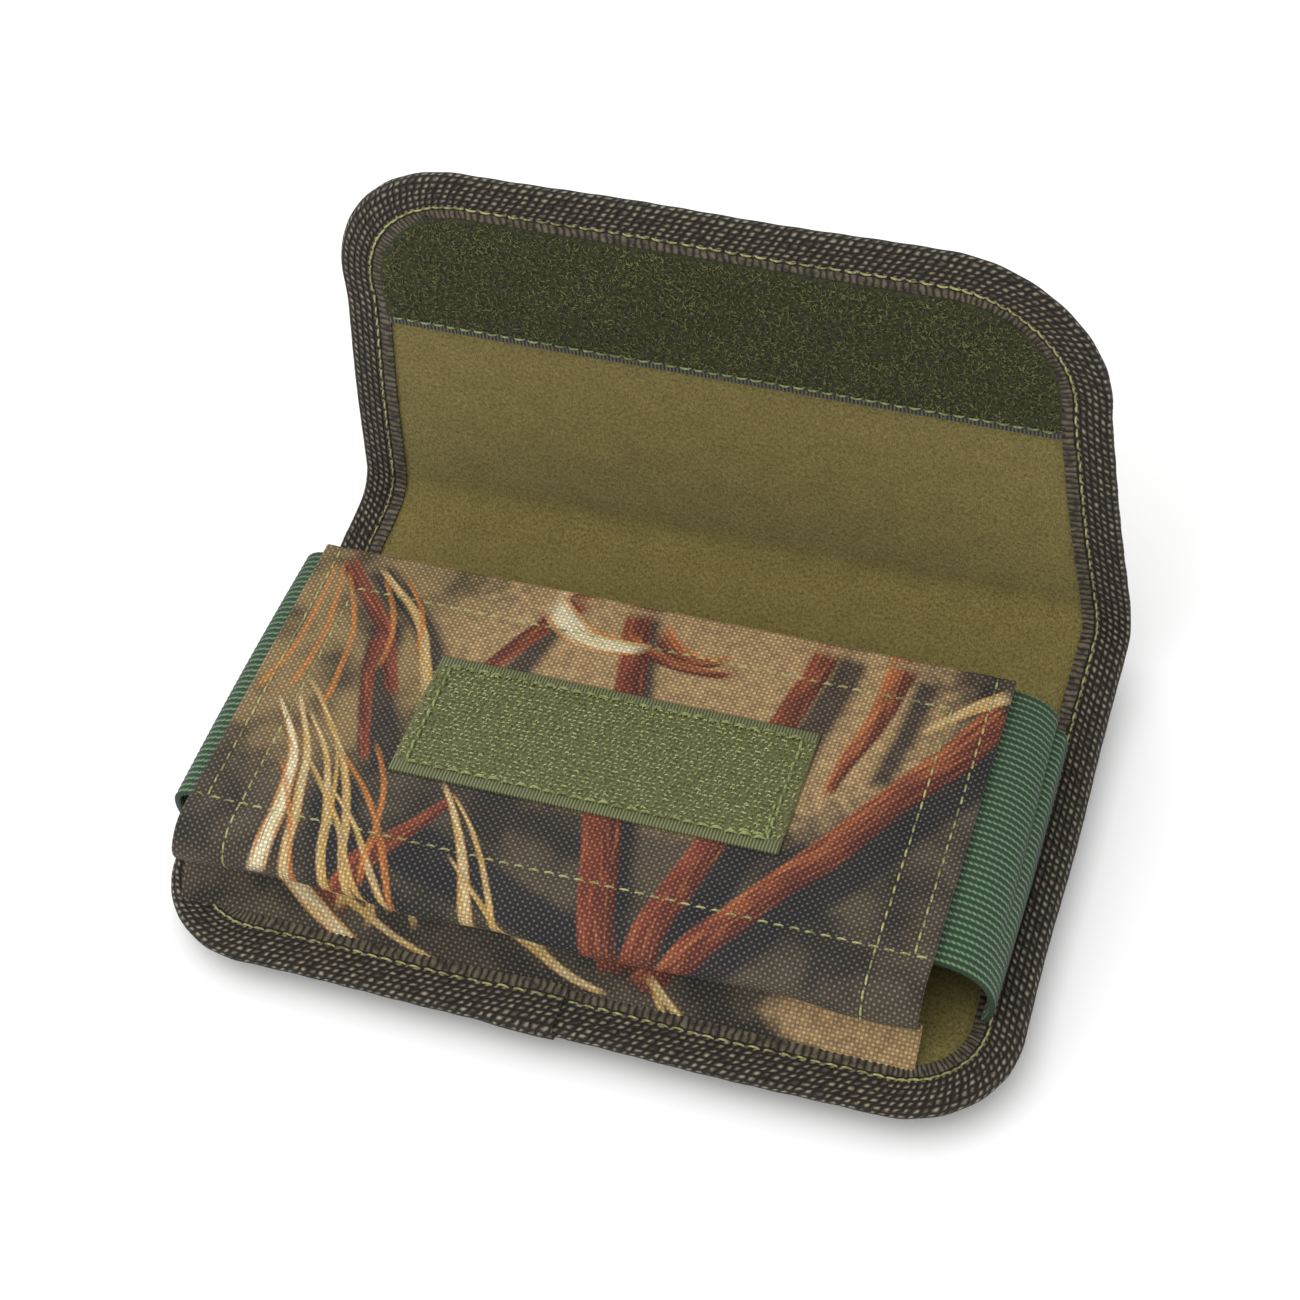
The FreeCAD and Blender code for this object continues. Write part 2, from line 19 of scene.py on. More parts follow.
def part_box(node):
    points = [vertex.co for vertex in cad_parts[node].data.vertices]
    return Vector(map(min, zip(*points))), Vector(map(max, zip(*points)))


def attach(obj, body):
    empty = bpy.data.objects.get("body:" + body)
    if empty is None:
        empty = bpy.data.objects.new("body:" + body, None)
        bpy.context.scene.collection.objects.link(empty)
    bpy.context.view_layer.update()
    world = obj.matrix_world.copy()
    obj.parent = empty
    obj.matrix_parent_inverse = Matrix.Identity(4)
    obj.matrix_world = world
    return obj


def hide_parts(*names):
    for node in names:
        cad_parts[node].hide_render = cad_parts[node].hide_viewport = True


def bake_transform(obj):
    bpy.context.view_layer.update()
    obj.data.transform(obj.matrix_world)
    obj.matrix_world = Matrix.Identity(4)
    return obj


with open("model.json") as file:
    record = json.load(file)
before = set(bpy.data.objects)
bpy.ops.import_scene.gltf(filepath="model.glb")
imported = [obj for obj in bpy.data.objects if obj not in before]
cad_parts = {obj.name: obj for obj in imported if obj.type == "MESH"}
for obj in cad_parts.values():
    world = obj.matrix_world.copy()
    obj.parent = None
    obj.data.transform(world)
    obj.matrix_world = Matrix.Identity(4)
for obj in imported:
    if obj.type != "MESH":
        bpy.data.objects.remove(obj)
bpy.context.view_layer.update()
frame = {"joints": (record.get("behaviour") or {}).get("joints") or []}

# %% [markdown]
# ## Tools of the bench
# Pieces are cut flat, in millimetres, and turned to metres when they are done. Operators act on
# whatever is selected, so each helper first lets go of everything.

# %% Selecting, editing, applying
MM = 0.001
TAU = 2 * math.pi


def let_go():
    bpy.ops.object.select_all(action="DESELECT")


def take(piece):
    let_go()
    piece.select_set(True)
    bpy.context.view_layer.objects.active = piece


def points_of(piece):
    flat = np.zeros(len(piece.data.vertices) * 3)
    piece.data.vertices.foreach_get("co", flat)
    return flat.reshape(-1, 3)


def move_points(piece, points):
    piece.data.vertices.foreach_set("co", np.asarray(points, float).ravel())
    piece.data.update()


def edit(piece):
    take(piece)
    bpy.ops.object.mode_set(mode="EDIT")
    bpy.context.tool_settings.mesh_select_mode = (True, False, False)
    bpy.ops.mesh.select_all(action="SELECT")


def leave():
    bpy.ops.object.mode_set(mode="OBJECT")


def pick(piece, test):
    """In edit mode, select the vertices whose place passes the test."""
    shape = bmesh.from_edit_mesh(piece.data)
    for v in shape.verts:
        v.select_set(bool(test(v.co)))
    shape.select_flush(True)
    bmesh.update_edit_mesh(piece.data)


def slice_up(axis, places, **more):
    """In edit mode, cut across the whole piece at these places along an axis."""
    normal = [1.0 if i == axis else 0.0 for i in range(3)]
    for place in places:
        bpy.ops.mesh.select_all(action="SELECT")
        bpy.ops.mesh.bisect(plane_co=[n * place for n in normal], plane_no=normal, **more)


def apply(piece, kind, **settings):
    take(piece)
    step = piece.modifiers.new(kind.title(), kind)
    for key, value in settings.items():
        setattr(step, key, value)
    bpy.ops.object.modifier_apply(modifier=step.name)


def faces_out(piece):
    edit(piece)
    bpy.ops.mesh.normals_make_consistent(inside=False)
    leave()


# %% Cutting a flat sheet
def cut_sheet(name, x0, x1, s0, s1, step_x, step_s):
    """A flat rectangle of cloth, divided finely enough to be folded."""
    let_go()
    bpy.ops.mesh.primitive_grid_add(
        x_subdivisions=max(1, round((x1 - x0) / step_x)),
        y_subdivisions=max(1, round((s1 - s0) / step_s)), size=1,
        location=((x0 + x1) / 2, (s0 + s1) / 2, 0))
    sheet = bpy.context.object
    sheet.name = sheet.data.name = name
    sheet.scale = (x1 - x0, s1 - s0, 1)
    bpy.ops.object.transform_apply(location=True, rotation=False, scale=True)
    return sheet


def lay_map(piece, place=lambda p: p[:, :2]):
    """Give every corner its place on the flat cut, in millimetres, as the UV map 'cut'."""
    while piece.data.uv_layers:
        piece.data.uv_layers.remove(piece.data.uv_layers[0])
    cut = piece.data.uv_layers.new(name="cut")
    corner = np.zeros(len(piece.data.loops), int)
    piece.data.loops.foreach_get("vertex_index", corner)
    cut.data.foreach_set("uv", np.asarray(place(points_of(piece)), float)[corner].ravel())


# %% [markdown]
# ## Folding
# A fold turns a place on the flat cut into a place on the finished object: x stays across the
# pouch, s runs along a side-on line, and d stands off that line to its left. The line is a table
# of points half a millimetre apart or closer, so straight runs, round folds and free curves all
# work the same way.

# %% The fold
class Fold:
    def __init__(self, line, lean=None):
        self.y, self.z = np.asarray(line, float).T
        run = np.hypot(np.diff(self.y), np.diff(self.z))
        self.s = np.concatenate([[0], np.cumsum(run)])
        self.turn = np.unwrap(np.arctan2(np.gradient(self.z, self.s), np.gradient(self.y, self.s)))
        self.length = self.s[-1]
        self.lean = lean or (lambda s: 0 * s)

    def __call__(self, x, s, d):
        x, s, d = (np.asarray(v, float) for v in np.broadcast_arrays(x, s, d))
        turn = np.interp(s, self.s, self.turn)
        over = np.clip(s, None, 0) + np.clip(s - self.length, 0, None)
        y = np.interp(s, self.s, self.y) + np.cos(turn) * over - np.sin(turn) * d
        z = np.interp(s, self.s, self.z) + np.sin(turn) * over + np.cos(turn) * d
        return np.stack([x + self.lean(s), y, z], -1)


def rounded_run(corners, rounds, step=0.4):
    """Points along straight runs whose corners are rounded to these radii."""
    corners = [np.asarray(c, float) for c in corners]
    line = [corners[0]]
    for before, corner, after, r in zip(corners, corners[1:], corners[2:], rounds):
        a, b = before - corner, after - corner
        a, b = a / np.linalg.norm(a), b / np.linalg.norm(b)
        half = math.acos(float(np.clip(a @ b, -1, 1))) / 2
        middle = corner + (a + b) / np.linalg.norm(a + b) * (r / math.sin(half))
        start, end = corner + a * (r / math.tan(half)), corner + b * (r / math.tan(half))
        w0, w1 = (math.atan2(*(p - middle)[::-1]) for p in (start, end))
        w1 = w0 + (w1 - w0 + math.pi) % (2 * math.pi) - math.pi
        n = max(4, int(abs(w1 - w0) * r / step))
        line += [middle + r * np.array([math.cos(w), math.sin(w)]) for w in np.linspace(w0, w1, n)]
    line.append(corners[-1])
    out = [line[0]]
    for p, q in zip(line, line[1:]):
        n = max(1, int(np.linalg.norm(q - p) / step))
        out += [p + (q - p) * k / n for k in range(1, n + 1)]
    return out


def free_curve(knots, step=0.3):
    """A smooth line through all these knots."""
    k = np.asarray(knots, float)
    k = np.vstack([2 * k[0] - k[1], k, 2 * k[-1] - k[-2]])
    line = []
    for a, b, c, d in zip(k, k[1:], k[2:], k[3:]):
        for t in np.linspace(0, 1, max(3, int(np.linalg.norm(c - b) / step)), endpoint=False):
            line.append(0.5 * (2 * b + (c - a) * t + (2 * a - 5 * b + 4 * c - d) * t ** 2
                               + (3 * b - a - 3 * c + d) * t ** 3))
    return line + [k[-2]]


# %% [markdown]
# ## Sizes
# The CAD nodes give the places. The panel's line lies in the middle of its thickness: level for
# the back, a little up for the spine, upright for the flap.

# %% Sizes from the frame
def low(node):
    return np.array(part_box(node)[0]) / MM


def high(node):
    return np.array(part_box(node)[1]) / MM


HALF = high("back_binding")[0]                      # half the panel's width
SKIN_HIGH = high("back_lining")[2]                  # inside of the back
SKIN_LOW = low("back_cloth")[2]                     # outside of the back
MID = (SKIN_HIGH + SKIN_LOW) / 2
STACK = (SKIN_HIGH - SKIN_LOW) / 2                  # the lining stands this far off the middle
TAPE = (high("back_binding")[2] - low("back_binding")[2]) / 2
TAPE_WIDE = 10.0
EDGE = low("back_binding")[1]                       # bottom edge
FIRST, SECOND = (np.array(j["pos_m"][1:]) / MM for j in frame["joints"])
TIP = high("flap_binding")[2]                       # free edge of the flap
BACK_ROUND, FLAP_ROUND, TAPER = 23.0, 32.0, 6.0
FOLD_ROUND = 8.0
print("folds at", FIRST.round(2), SECOND.round(2), "tip", round(TIP, 1))

# %% The panel's fold
panel_line = rounded_run([(EDGE, MID), tuple(FIRST), tuple(SECOND), (SECOND[0], TIP)],
                         [30.0, FOLD_ROUND])
panel = Fold(panel_line)
LONG = panel.length
FLAP_S = LONG - (TIP - SECOND[1])                   # the second fold's place on the flat cut
SPINE_S = (FIRST[0] - EDGE + FLAP_S) / 2            # the middle of the spine
LEAN = -4.6                                         # the open flap leans a little to one side
panel.lean = lambda s: LEAN * np.clip((s - FLAP_S) / (LONG - FLAP_S), 0, 1)
print("flat panel", round(2 * HALF, 1), "x", round(LONG, 1))

# %% [markdown]
# ## The binding's path
# Tape is one straight strip that is folded over the edge. `a` runs along the edge from the middle
# of the bottom, and `c` runs across the tape, from its inner edge on the lined face, round the
# nose, to its inner edge on the printed face.

# %% Round the edge
TAPER_END = LONG - FLAP_ROUND - 3.4               # where the flap's sides stop running in
TIP_HALF = HALF - TAPER
edge_line = Fold(rounded_run(
    [(0, 0), (HALF, 0), (HALF, FLAP_S), (TIP_HALF, TAPER_END), (TIP_HALF, LONG),
     (-TIP_HALF, LONG), (-TIP_HALF, TAPER_END), (-HALF, FLAP_S), (-HALF, 0), (0, 0)],
    [BACK_ROUND, 60, 60, FLAP_ROUND, FLAP_ROUND, 60, 60, BACK_ROUND]))
AROUND = edge_line.length
tape_section = Fold(rounded_run([(TAPE_WIDE, TAPE), (0, TAPE), (0, -TAPE), (TAPE_WIDE, -TAPE)],
                                [TAPE - 0.1, TAPE - 0.1], 0.2))
TAPE_ACROSS = tape_section.length
SEAM_IN = TAPE_WIDE - 6.9                           # the seam, from the tape's inner edge


def on_tape(a, c, lift=0.0):
    a, c, lift = (np.asarray(v, float) for v in np.broadcast_arrays(a, c, lift))
    section = tape_section(0, c, -lift)
    flat = edge_line(0, np.mod(a, AROUND), section[..., 1] + 0.18 * np.sin(a / 9.1 + 1))
    return panel(flat[..., 1], flat[..., 2], section[..., 2])


steps = np.arange(0, AROUND / 2, 0.1)
SPLIT = steps[np.argmin(np.abs(edge_line(0, steps, 0.0)[:, 2] - SPINE_S))]
print("edge", round(AROUND, 1), "mm round, parted at", round(SPLIT, 1),
      "tape", round(TAPE_ACROSS, 1))

# %% [markdown]
# ## Stitches
# A lockstitch shows as a short run of thread that dives into the cloth at both ends. One is
# shaped from a thin cylinder, cut across and bent down at its ends, and then set along each seam.

# %% One stitch
def shape_stitch(name, length, thick):
    let_go()
    bpy.ops.mesh.primitive_cylinder_add(vertices=6, radius=thick / 2, depth=length,
                                        rotation=(0, math.pi / 2, 0))
    stitch = bpy.context.object
    stitch.name = name
    bpy.ops.object.transform_apply(rotation=True)
    edit(stitch)
    slice_up(0, [length * k for k in (-0.36, -0.18, 0, 0.18, 0.36)])
    leave()
    p = points_of(stitch)
    t = np.abs(p[:, 0]) / (length / 2)
    p[:, 1] *= 1 - 0.35 * t ** 2
    p[:, 2] = p[:, 2] * (1 - 0.35 * t ** 2) + thick * (0.25 - 0.95 * t ** 3)
    move_points(stitch, p)
    return stitch


def set_copies(name, shape, rows):
    """Copies of one shape, one for each place and its three axes, joined as one piece."""
    p = points_of(shape)
    faces = [list(f.vertices) for f in shape.data.polygons]
    places, spots = [], []
    for here, ahead, across, out in rows:
        places.append((p[None, :, 0, None] * ahead[:, None] + p[None, :, 1, None] * across[:, None]
                       + p[None, :, 2, None] * out[:, None] + here[:, None]).reshape(-1, 3))
        spots.append(len(here))
    count = sum(spots)
    mesh = bpy.data.meshes.new(name)
    mesh.from_pydata(np.concatenate(places).tolist(), [],
                     [[v + k * len(p) for v in f] for k in range(count) for f in faces])
    piece = bpy.data.objects.new(name, mesh)
    bpy.context.scene.collection.objects.link(piece)
    print(name, count, "copies")
    return piece


def axes_at(place, a, c, lift, heading, slant=0.0):
    """Where stitches sit on a surface, with their axes: along the seam, across it, and out."""
    a, c, lift = (np.asarray(v, float) for v in np.broadcast_arrays(a, c, lift))
    turn = math.atan2(heading[1], heading[0]) + slant
    here = place(a, c, lift)
    ahead = place(a + math.cos(turn) * 0.05, c + math.sin(turn) * 0.05, lift) - here
    out = place(a, c, lift + 0.05) - here
    ahead /= np.linalg.norm(ahead, axis=1)[:, None]
    out /= np.linalg.norm(out, axis=1)[:, None]
    return here, ahead, np.cross(out, ahead), out


PITCH = 3.0                                         # stitch to stitch
STITCH = shape_stitch("stitch", 2.45, 0.46)
THICK_STITCH = shape_stitch("thick_stitch", 2.5, 0.66)


def seam(place, start, end, lift, pitch=PITCH, jitter=0.06):
    """A straight row of stitches from start to end on a surface's own coordinates."""
    start, end = np.asarray(start, float), np.asarray(end, float)
    run = np.linalg.norm(end - start)
    count = max(1, round(run / pitch))
    t = (np.arange(count) + 0.5) / count
    way = (end - start) / run
    at = start + np.outer(t * run, way)
    at += np.outer(np.sin(np.arange(count) * 2.4) * jitter, [-way[1], way[0]])
    return axes_at(place, at[:, 0], at[:, 1], lift, way, 0.05)


# %% Finishing a piece
def settle(piece, finish, body=None, bend=None, hides=(), angle=50):
    """Metres, smooth faces, its material and the body it rides on; a piece given a bend rides on
    none.
    """
    piece.data.transform(Matrix.Scale(MM, 4))
    take(piece)
    bpy.ops.object.shade_smooth_by_angle(angle=math.radians(angle))
    piece.data.materials.clear()
    piece.data.materials.append(finish)
    if bend:
        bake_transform(piece)
    else:
        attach(piece, body)
    if hides:
        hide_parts(*hides)
    triangles = sum(len(f.vertices) - 2 for f in piece.data.polygons)
    print(piece.name, triangles, "triangles")
    return piece

# %% [markdown]
# ## Materials
# Shader maths reads like arithmetic here. A `Tone` wraps one socket, and an expression on tones
# adds the Math nodes it needs. Every map is in millimetres, so a yarn is a yarn on every piece.

# %% Shader arithmetic
class Tone:
    def __init__(self, finish, socket):
        self.finish, self.socket = finish, socket

    def maths(self, operation, *values):
        return self.finish.node("ShaderNodeMath", {"operation": operation}, dict(enumerate(values)))

    def __add__(self, other): return self.maths("ADD", self, other)
    def __sub__(self, other): return self.maths("SUBTRACT", self, other)
    def __mul__(self, other): return self.maths("MULTIPLY", self, other)
    def __truediv__(self, other): return self.maths("DIVIDE", self, other)
    def __rsub__(self, other): return self.maths("SUBTRACT", other, self)
    def __neg__(self): return self.maths("MULTIPLY", self, -1.0)
    def __abs__(self): return self.maths("ABSOLUTE", self)
    def __pow__(self, other): return self.maths("POWER", self, other)
    __radd__, __rmul__ = __add__, __mul__

    def sine(self): return self.maths("SINE", self)
    def most(self, other): return self.maths("MAXIMUM", self, other)
    def fold_back(self, width): return self.maths("PINGPONG", self, width)

    def clear(self):
        """Held between 0 and 1."""
        return self.finish.node("ShaderNodeClamp", {}, {"Value": self})

    def between(self, a, b):
        """0 at a, 1 at b, eased at both ends."""
        return self.finish.node("ShaderNodeMapRange", {"interpolation_type": "SMOOTHSTEP"},
                                {"Value": self, "From Min": a, "From Max": b})


def shade(r, g, b):
    """A colour as the eye reads it, 0 to 255, in the light's own scale."""
    line = [v / 255 / 12.92 if v <= 10 else ((v / 255 + 0.055) / 1.055) ** 2.4 for v in (r, g, b)]
    return (*line, 1.0)


class Finish:
    """A material being mixed."""

    def __init__(self, name, **constants):
        self.material = bpy.data.materials.new(name)
        self.material.use_nodes = True
        self.nodes = self.material.node_tree.nodes
        self.links = self.material.node_tree.links
        self.nodes.clear()
        self.skin = self.nodes.new("ShaderNodeBsdfPrincipled")
        for key, value in constants.items():
            self.skin.inputs[key.replace("_", " ")].default_value = value
        end = self.nodes.new("ShaderNodeOutputMaterial")
        self.links.new(self.skin.outputs[0], end.inputs["Surface"])

    def node(self, kind, settings=None, inputs=None, out=0):
        made = self.nodes.new(kind)
        for key, value in (settings or {}).items():
            setattr(made, key, value)
        for key, value in (inputs or {}).items():
            socket = made.inputs[key]
            if isinstance(value, Tone):
                self.links.new(value.socket, socket)
            else:
                socket.default_value = value
        return Tone(self, made.outputs[out])

    def cut_map(self):
        uv = self.node("ShaderNodeUVMap", {"uv_map": "cut"})
        return [self.node("ShaderNodeSeparateXYZ", {}, {0: uv}, out=i) for i in (0, 1)]

    def object_place(self):
        return self.node("ShaderNodeTexCoord", {}, {}, out=3)

    def at(self, x, y, z=0.0):
        return self.node("ShaderNodeCombineXYZ", {}, {0: x, 1: y, 2: z})

    def noise(self, where, scale, detail=2.0, rough=0.5):
        return self.node("ShaderNodeTexNoise", {}, {"Vector": where, "Scale": scale,
                                                    "Detail": detail, "Roughness": rough})

    def mix(self, amount, a, b):
        return self.node("ShaderNodeMix", {"data_type": "RGBA"}, {0: amount, 6: a, 7: b}, out=2)

    def tint(self, colour, by):
        """A colour made lighter or darker by a number."""
        return self.node("ShaderNodeVectorMath", {"operation": "SCALE"}, {0: colour, "Scale": by})

    def done(self, colour, height=None, depth=0.0001, strength=1.0, rough=None):
        self.links.new(colour.socket, self.skin.inputs["Base Color"])
        if rough is not None:
            self.links.new(rough.socket, self.skin.inputs["Roughness"])
        if height is not None:
            bump = self.node("ShaderNodeBump", {}, {"Height": height, "Distance": depth,
                                                    "Strength": strength})
            self.links.new(bump.socket, self.skin.inputs["Normal"])
        print("material", self.material.name, len(self.nodes), "nodes")
        return self.material


# %% [markdown]
# ### Printed cloth
# Coarse plain-weave cloth, printed with reeds: brown ground, a sand field and a tan bank,
# red-brown stems with their shadows, pale curved blades and thin orange lines. Each stroke is a
# band round a bowed line, with streaks along it; strokes worked out in the shader stay sharp
# close up. The weave lies over the print: every other crossing shows the warp, higher, with a
# painted highlight on the crowns and painted shade in the gaps between yarns.

# %% The reed print
YARN, RIB = 0.78, 1.55                   # mm between yarns of the cloth, rows of the elastic


def printed_cloth():
    f = Finish("reed_print", Roughness=0.66, Specular_IOR_Level=0.25, Sheen_Weight=0.03,
               Sheen_Roughness=0.5)
    raw_u, raw_v = f.cut_map()
    u, v = (raw_u + 300.0).fold_back(150.0), (raw_v + 400.0).fold_back(100.0)
    drift = f.noise(f.at(u, v), 0.03, 1.5)
    drift2 = f.noise(f.at(v, u, 7.0), 0.03, 1.5)
    pu, pv = u + (drift - 0.5) * 5.0, v + (drift2 - 0.5) * 5.0
    fleck = f.noise(f.at(u, v), 0.42, 2.0)

    def stroke(a, b, bow, wide_a, wide_b, soft=0.7):
        run = math.dist(a, b)
        tx, ty = (b[0] - a[0]) / run, (b[1] - a[1]) / run
        along = ((pu - a[0]) * tx + (pv - a[1]) * ty) * (1 / run)
        side = (pv - a[1]) * tx - (pu - a[0]) * ty - along * (1 - along) * (4 * bow)
        half = (along * ((wide_b - wide_a) / 2) + wide_a / 2).most(0.05)
        inside = ((half - abs(side)) * (1 / soft) + 0.5).clear()
        ends = (along * (run / 3)).clear() * ((1 - along) * (run / 3)).clear()
        return inside * ends, side / half, f.noise(f.at(along * (run * 0.10), side * 1.3), 1.0, 1.0)

    # ground: sand in the upper middle and a little at the lower right, tan at the upper left,
    # charcoal brown elsewhere
    def near(x, y, wide, high):
        return 1.05 - (((pu - x) * (1 / wide)) ** 2.0 + ((pv - y) * (1 / high)) ** 2.0)

    field = (near(88.0, 84.0, 60.0, 40.0).most(near(140.0, 6.0, 22.0, 7.0))
             + (fleck - 0.5) * 0.35).between(0.0, 0.55)
    bank = (near(16.0, 82.0, 34.0, 46.0) + (fleck - 0.5) * 0.5).between(0.0, 0.7)
    patchy = f.noise(f.at(u, v, 3.0), 0.09, 2.0)
    dark = f.mix(patchy.between(0.3, 0.7), shade(46, 42, 37), shade(86, 76, 61))
    sand = f.mix(fleck.between(0.3, 0.7), shade(152, 124, 87), shade(180, 150, 105))
    tan = f.mix(patchy.between(0.3, 0.6), shade(80, 67, 47), shade(144, 121, 81))
    colour = f.mix(field, f.mix(bank, dark, tan), sand)

    def shadow(colour, a, b, bow, wide_a, wide_b, deep=0.85):
        band, _, _ = stroke(a, b, bow, wide_a, wide_b, 2.2)
        return f.mix(band * deep, colour, shade(30, 30, 36))

    def stem(colour, a, b, bow, wide_a, wide_b, light=0.0):
        band, side, grain = stroke(a, b, bow, wide_a, wide_b)
        wood = f.mix((side * 0.32 + grain).between(0.05, 1.0),
                     shade(78, 34, 26), shade(140, 68, 46))
        lit = ((grain - 0.55) * 1.2 + light * (side + 0.4)).clear()
        wood = f.mix(lit, wood, shade(214, 136, 74))
        return f.mix(band * 0.96, colour, wood)

    def blade(colour, a, b, bow, wide_a, wide_b, white=0.6):
        band, side, grain = stroke(a, b, bow, wide_a, wide_b, 0.45)
        leaf = f.mix((abs(side) + (grain - 0.5) * 1.5).between(0.35, 1.05),
                     shade(236, 226, 190), shade(186, 118, 56))
        leaf = f.mix((grain * 1.6 - (white - 0.3)).clear(), leaf, shade(190, 154, 86))
        leaf = f.mix(((0.47 - grain) * 5.0).clear() * 0.75, leaf, shade(70, 48, 34))
        return f.mix(band, colour, leaf)

    def line(colour, a, b, bow):
        band, _, grain = stroke(a, b, bow, 0.9, 1.3, 0.5)
        return f.mix(band * (grain * 1.4).clear(), colour, shade(196, 124, 58))

    for a, b, bow, w0, w1 in (((99, 8), (150, 86), -2, 8, 11), ((90, 10), (70, 100), 1, 9, 6),
                              ((100, 14), (115, 100), -1, 8, 6), ((10, 98), (38, 68), 2, 6, 5),
                              ((127, 66), (131, 98), 0, 4, 5), ((18, 84), (34, 44), -2, 7, 8),
                              ((54, 98), (44, 62), 1, 4, 7), ((40, 30), (96, 6), 4, 12, 8),
                              ((24, 40), (48, 14), -3, 10, 8)):
        colour = shadow(colour, (a[0] + 2.6, a[1]), (b[0] + 2.6, b[1]), bow, w0, w1)
    for a, b, bow, w0, w1, light in (
            ((95, 4), (151, 94), -1, 6.0, 7.5, 0.22), ((91, 6), (71, 100), 1, 8.0, 5.5, 0.0),
            ((94, 8), (112, 100), -1, 7.0, 5.5, 0.04), ((6, 99), (30, 64), 2, 4.0, 3.0, 0.0),
            ((121, 62), (128, 100), 0, 2.0, 6.5, 0.45), ((60, 100), (45, 74), -1, 5.0, 3.0, 0.0),
            ((30, 6), (52, 44), 1, 8.0, 2.0, 0.05), ((20, 80), (30, 46), -1, 3.4, 2.0, 0.0),
            ((76, 97), (94, 92), -5, 6.0, 3.0, 0.5), ((70, 92), (96, 88), -3, 4.0, 2.0, 0.35)):
        colour = stem(colour, a, b, bow, w0, w1, light)
    for a, b, bow, w0, w1, white in (
            ((7, 60), (17, 16), 6, 0.8, 4.6, 0.95), ((10, 62), (23, 10), 5, 0.8, 3.0, 0.5),
            ((10, 66), (40, 4), 6, 0.6, 2.4, 0.3), ((14, 58), (33, 6), 5, 0.6, 2.6, 0.4),
            ((18, 46), (44, 8), 3, 0.6, 1.8, 0.2), ((22, 52), (34, 8), 2, 0.5, 1.4, 0.1),
            ((26, 40), (50, 6), 3, 0.6, 1.8, 0.3), ((18, 14), (52, -6), -2, 4.6, 1.2, 0.6),
            ((24, 14), (58, 0), -1, 2.4, 0.8, 0.3), ((14, 98), (37, 66), 3, 1.2, 3.0, 0.35),
            ((47, 46), (62, 12), 3, 1.0, 3.0, 0.5), ((50, 44), (68, 8), 4, 0.6, 1.8, 0.3),
            ((54, 30), (76, 6), 1, 0.6, 1.6, 0.2), ((62, 14), (90, 2), -2, 3.2, 1.2, 0.4),
            ((96, 8), (110, -4), 0, 2.0, 0.8, 0.4), ((98, 6), (104, -4), 0, 1.6, 0.8, 0.2),
            ((53, 98), (76, 90), -5, 9.0, 4.0, 0.95), ((134, 82), (151, 98), 1, 1.2, 4.0, 0.35)):
        colour = blade(colour, a, b, bow, w0, w1, white)
    for a, b, bow in (((4, 98), (2, 60), 2), ((6, 98), (8, 62), 2), ((8, 96), (16, 58), 3),
                      ((16, 96), (24, 70), 2), ((20, 97), (30, 76), 2), ((24, 48), (48, 12), 4),
                      ((14, 44), (26, 10), 3), ((30, 52), (40, 20), 3)):
        colour = line(colour, a, b, bow)

    # weave: colour tinted by yarn height, painted shade in the gaps and painted highlight on the
    # crowns, with random tone from worn
    a, b = (raw_u * (math.pi / YARN)).sine(), (raw_v * (math.pi / YARN)).sine()
    over = a * b
    crown = (over.most(0.0) ** 0.6) + ((-over).most(0.0) ** 0.6) * 0.45
    worn = f.noise(f.at(raw_u, raw_v, 11.0), 0.8, 1.0)
    colour = f.tint(colour, crown * 0.9 + 0.45 + (worn - 0.5) * 0.35)
    # the highest crowns are mixed towards pale cream: painted highlight
    colour = f.mix((crown - 0.55).clear() * 0.3, colour, shade(226, 214, 190))
    return f.done(colour, crown, depth=0.00022, strength=0.8)


PRINTED = printed_cloth()

# %% [markdown]
# ### Lining, tape, elastic, hook and loop, webbing, thread
# The lining is brushed, so it has no yarns, only mottled nap. The binding has slanting rows of
# pale yarn crowns, with painted highlight on them and painted shade between, and plain ribs near
# its inner edge. Elastic and webbing are ribbed. Each is laid on its own cut map, so that the
# pattern follows the tape round the corners.

# %% The other cloths
def brushed_lining():
    f = Finish("brushed_lining", Roughness=0.95, Specular_IOR_Level=0.1, Sheen_Weight=0.2,
               Sheen_Roughness=0.45)
    u, v = f.cut_map()
    nap = f.noise(f.at(u, v), 1.2, 4.0, 0.75)
    lay = f.noise(f.at(u, v), 0.16, 4.0, 0.6)
    hair = f.noise(f.at(u * 2.2, v * 0.8), 1.7, 2.0)
    colour = f.mix((nap * 0.6 + hair * 0.4).between(0.32, 0.68), shade(82, 73, 38),
                   shade(138, 126, 76))
    colour = f.tint(colour, lay * 0.5 + 0.8)
    return f.done(colour, nap * 0.7 + hair * 0.3, depth=0.0004, strength=0.55)


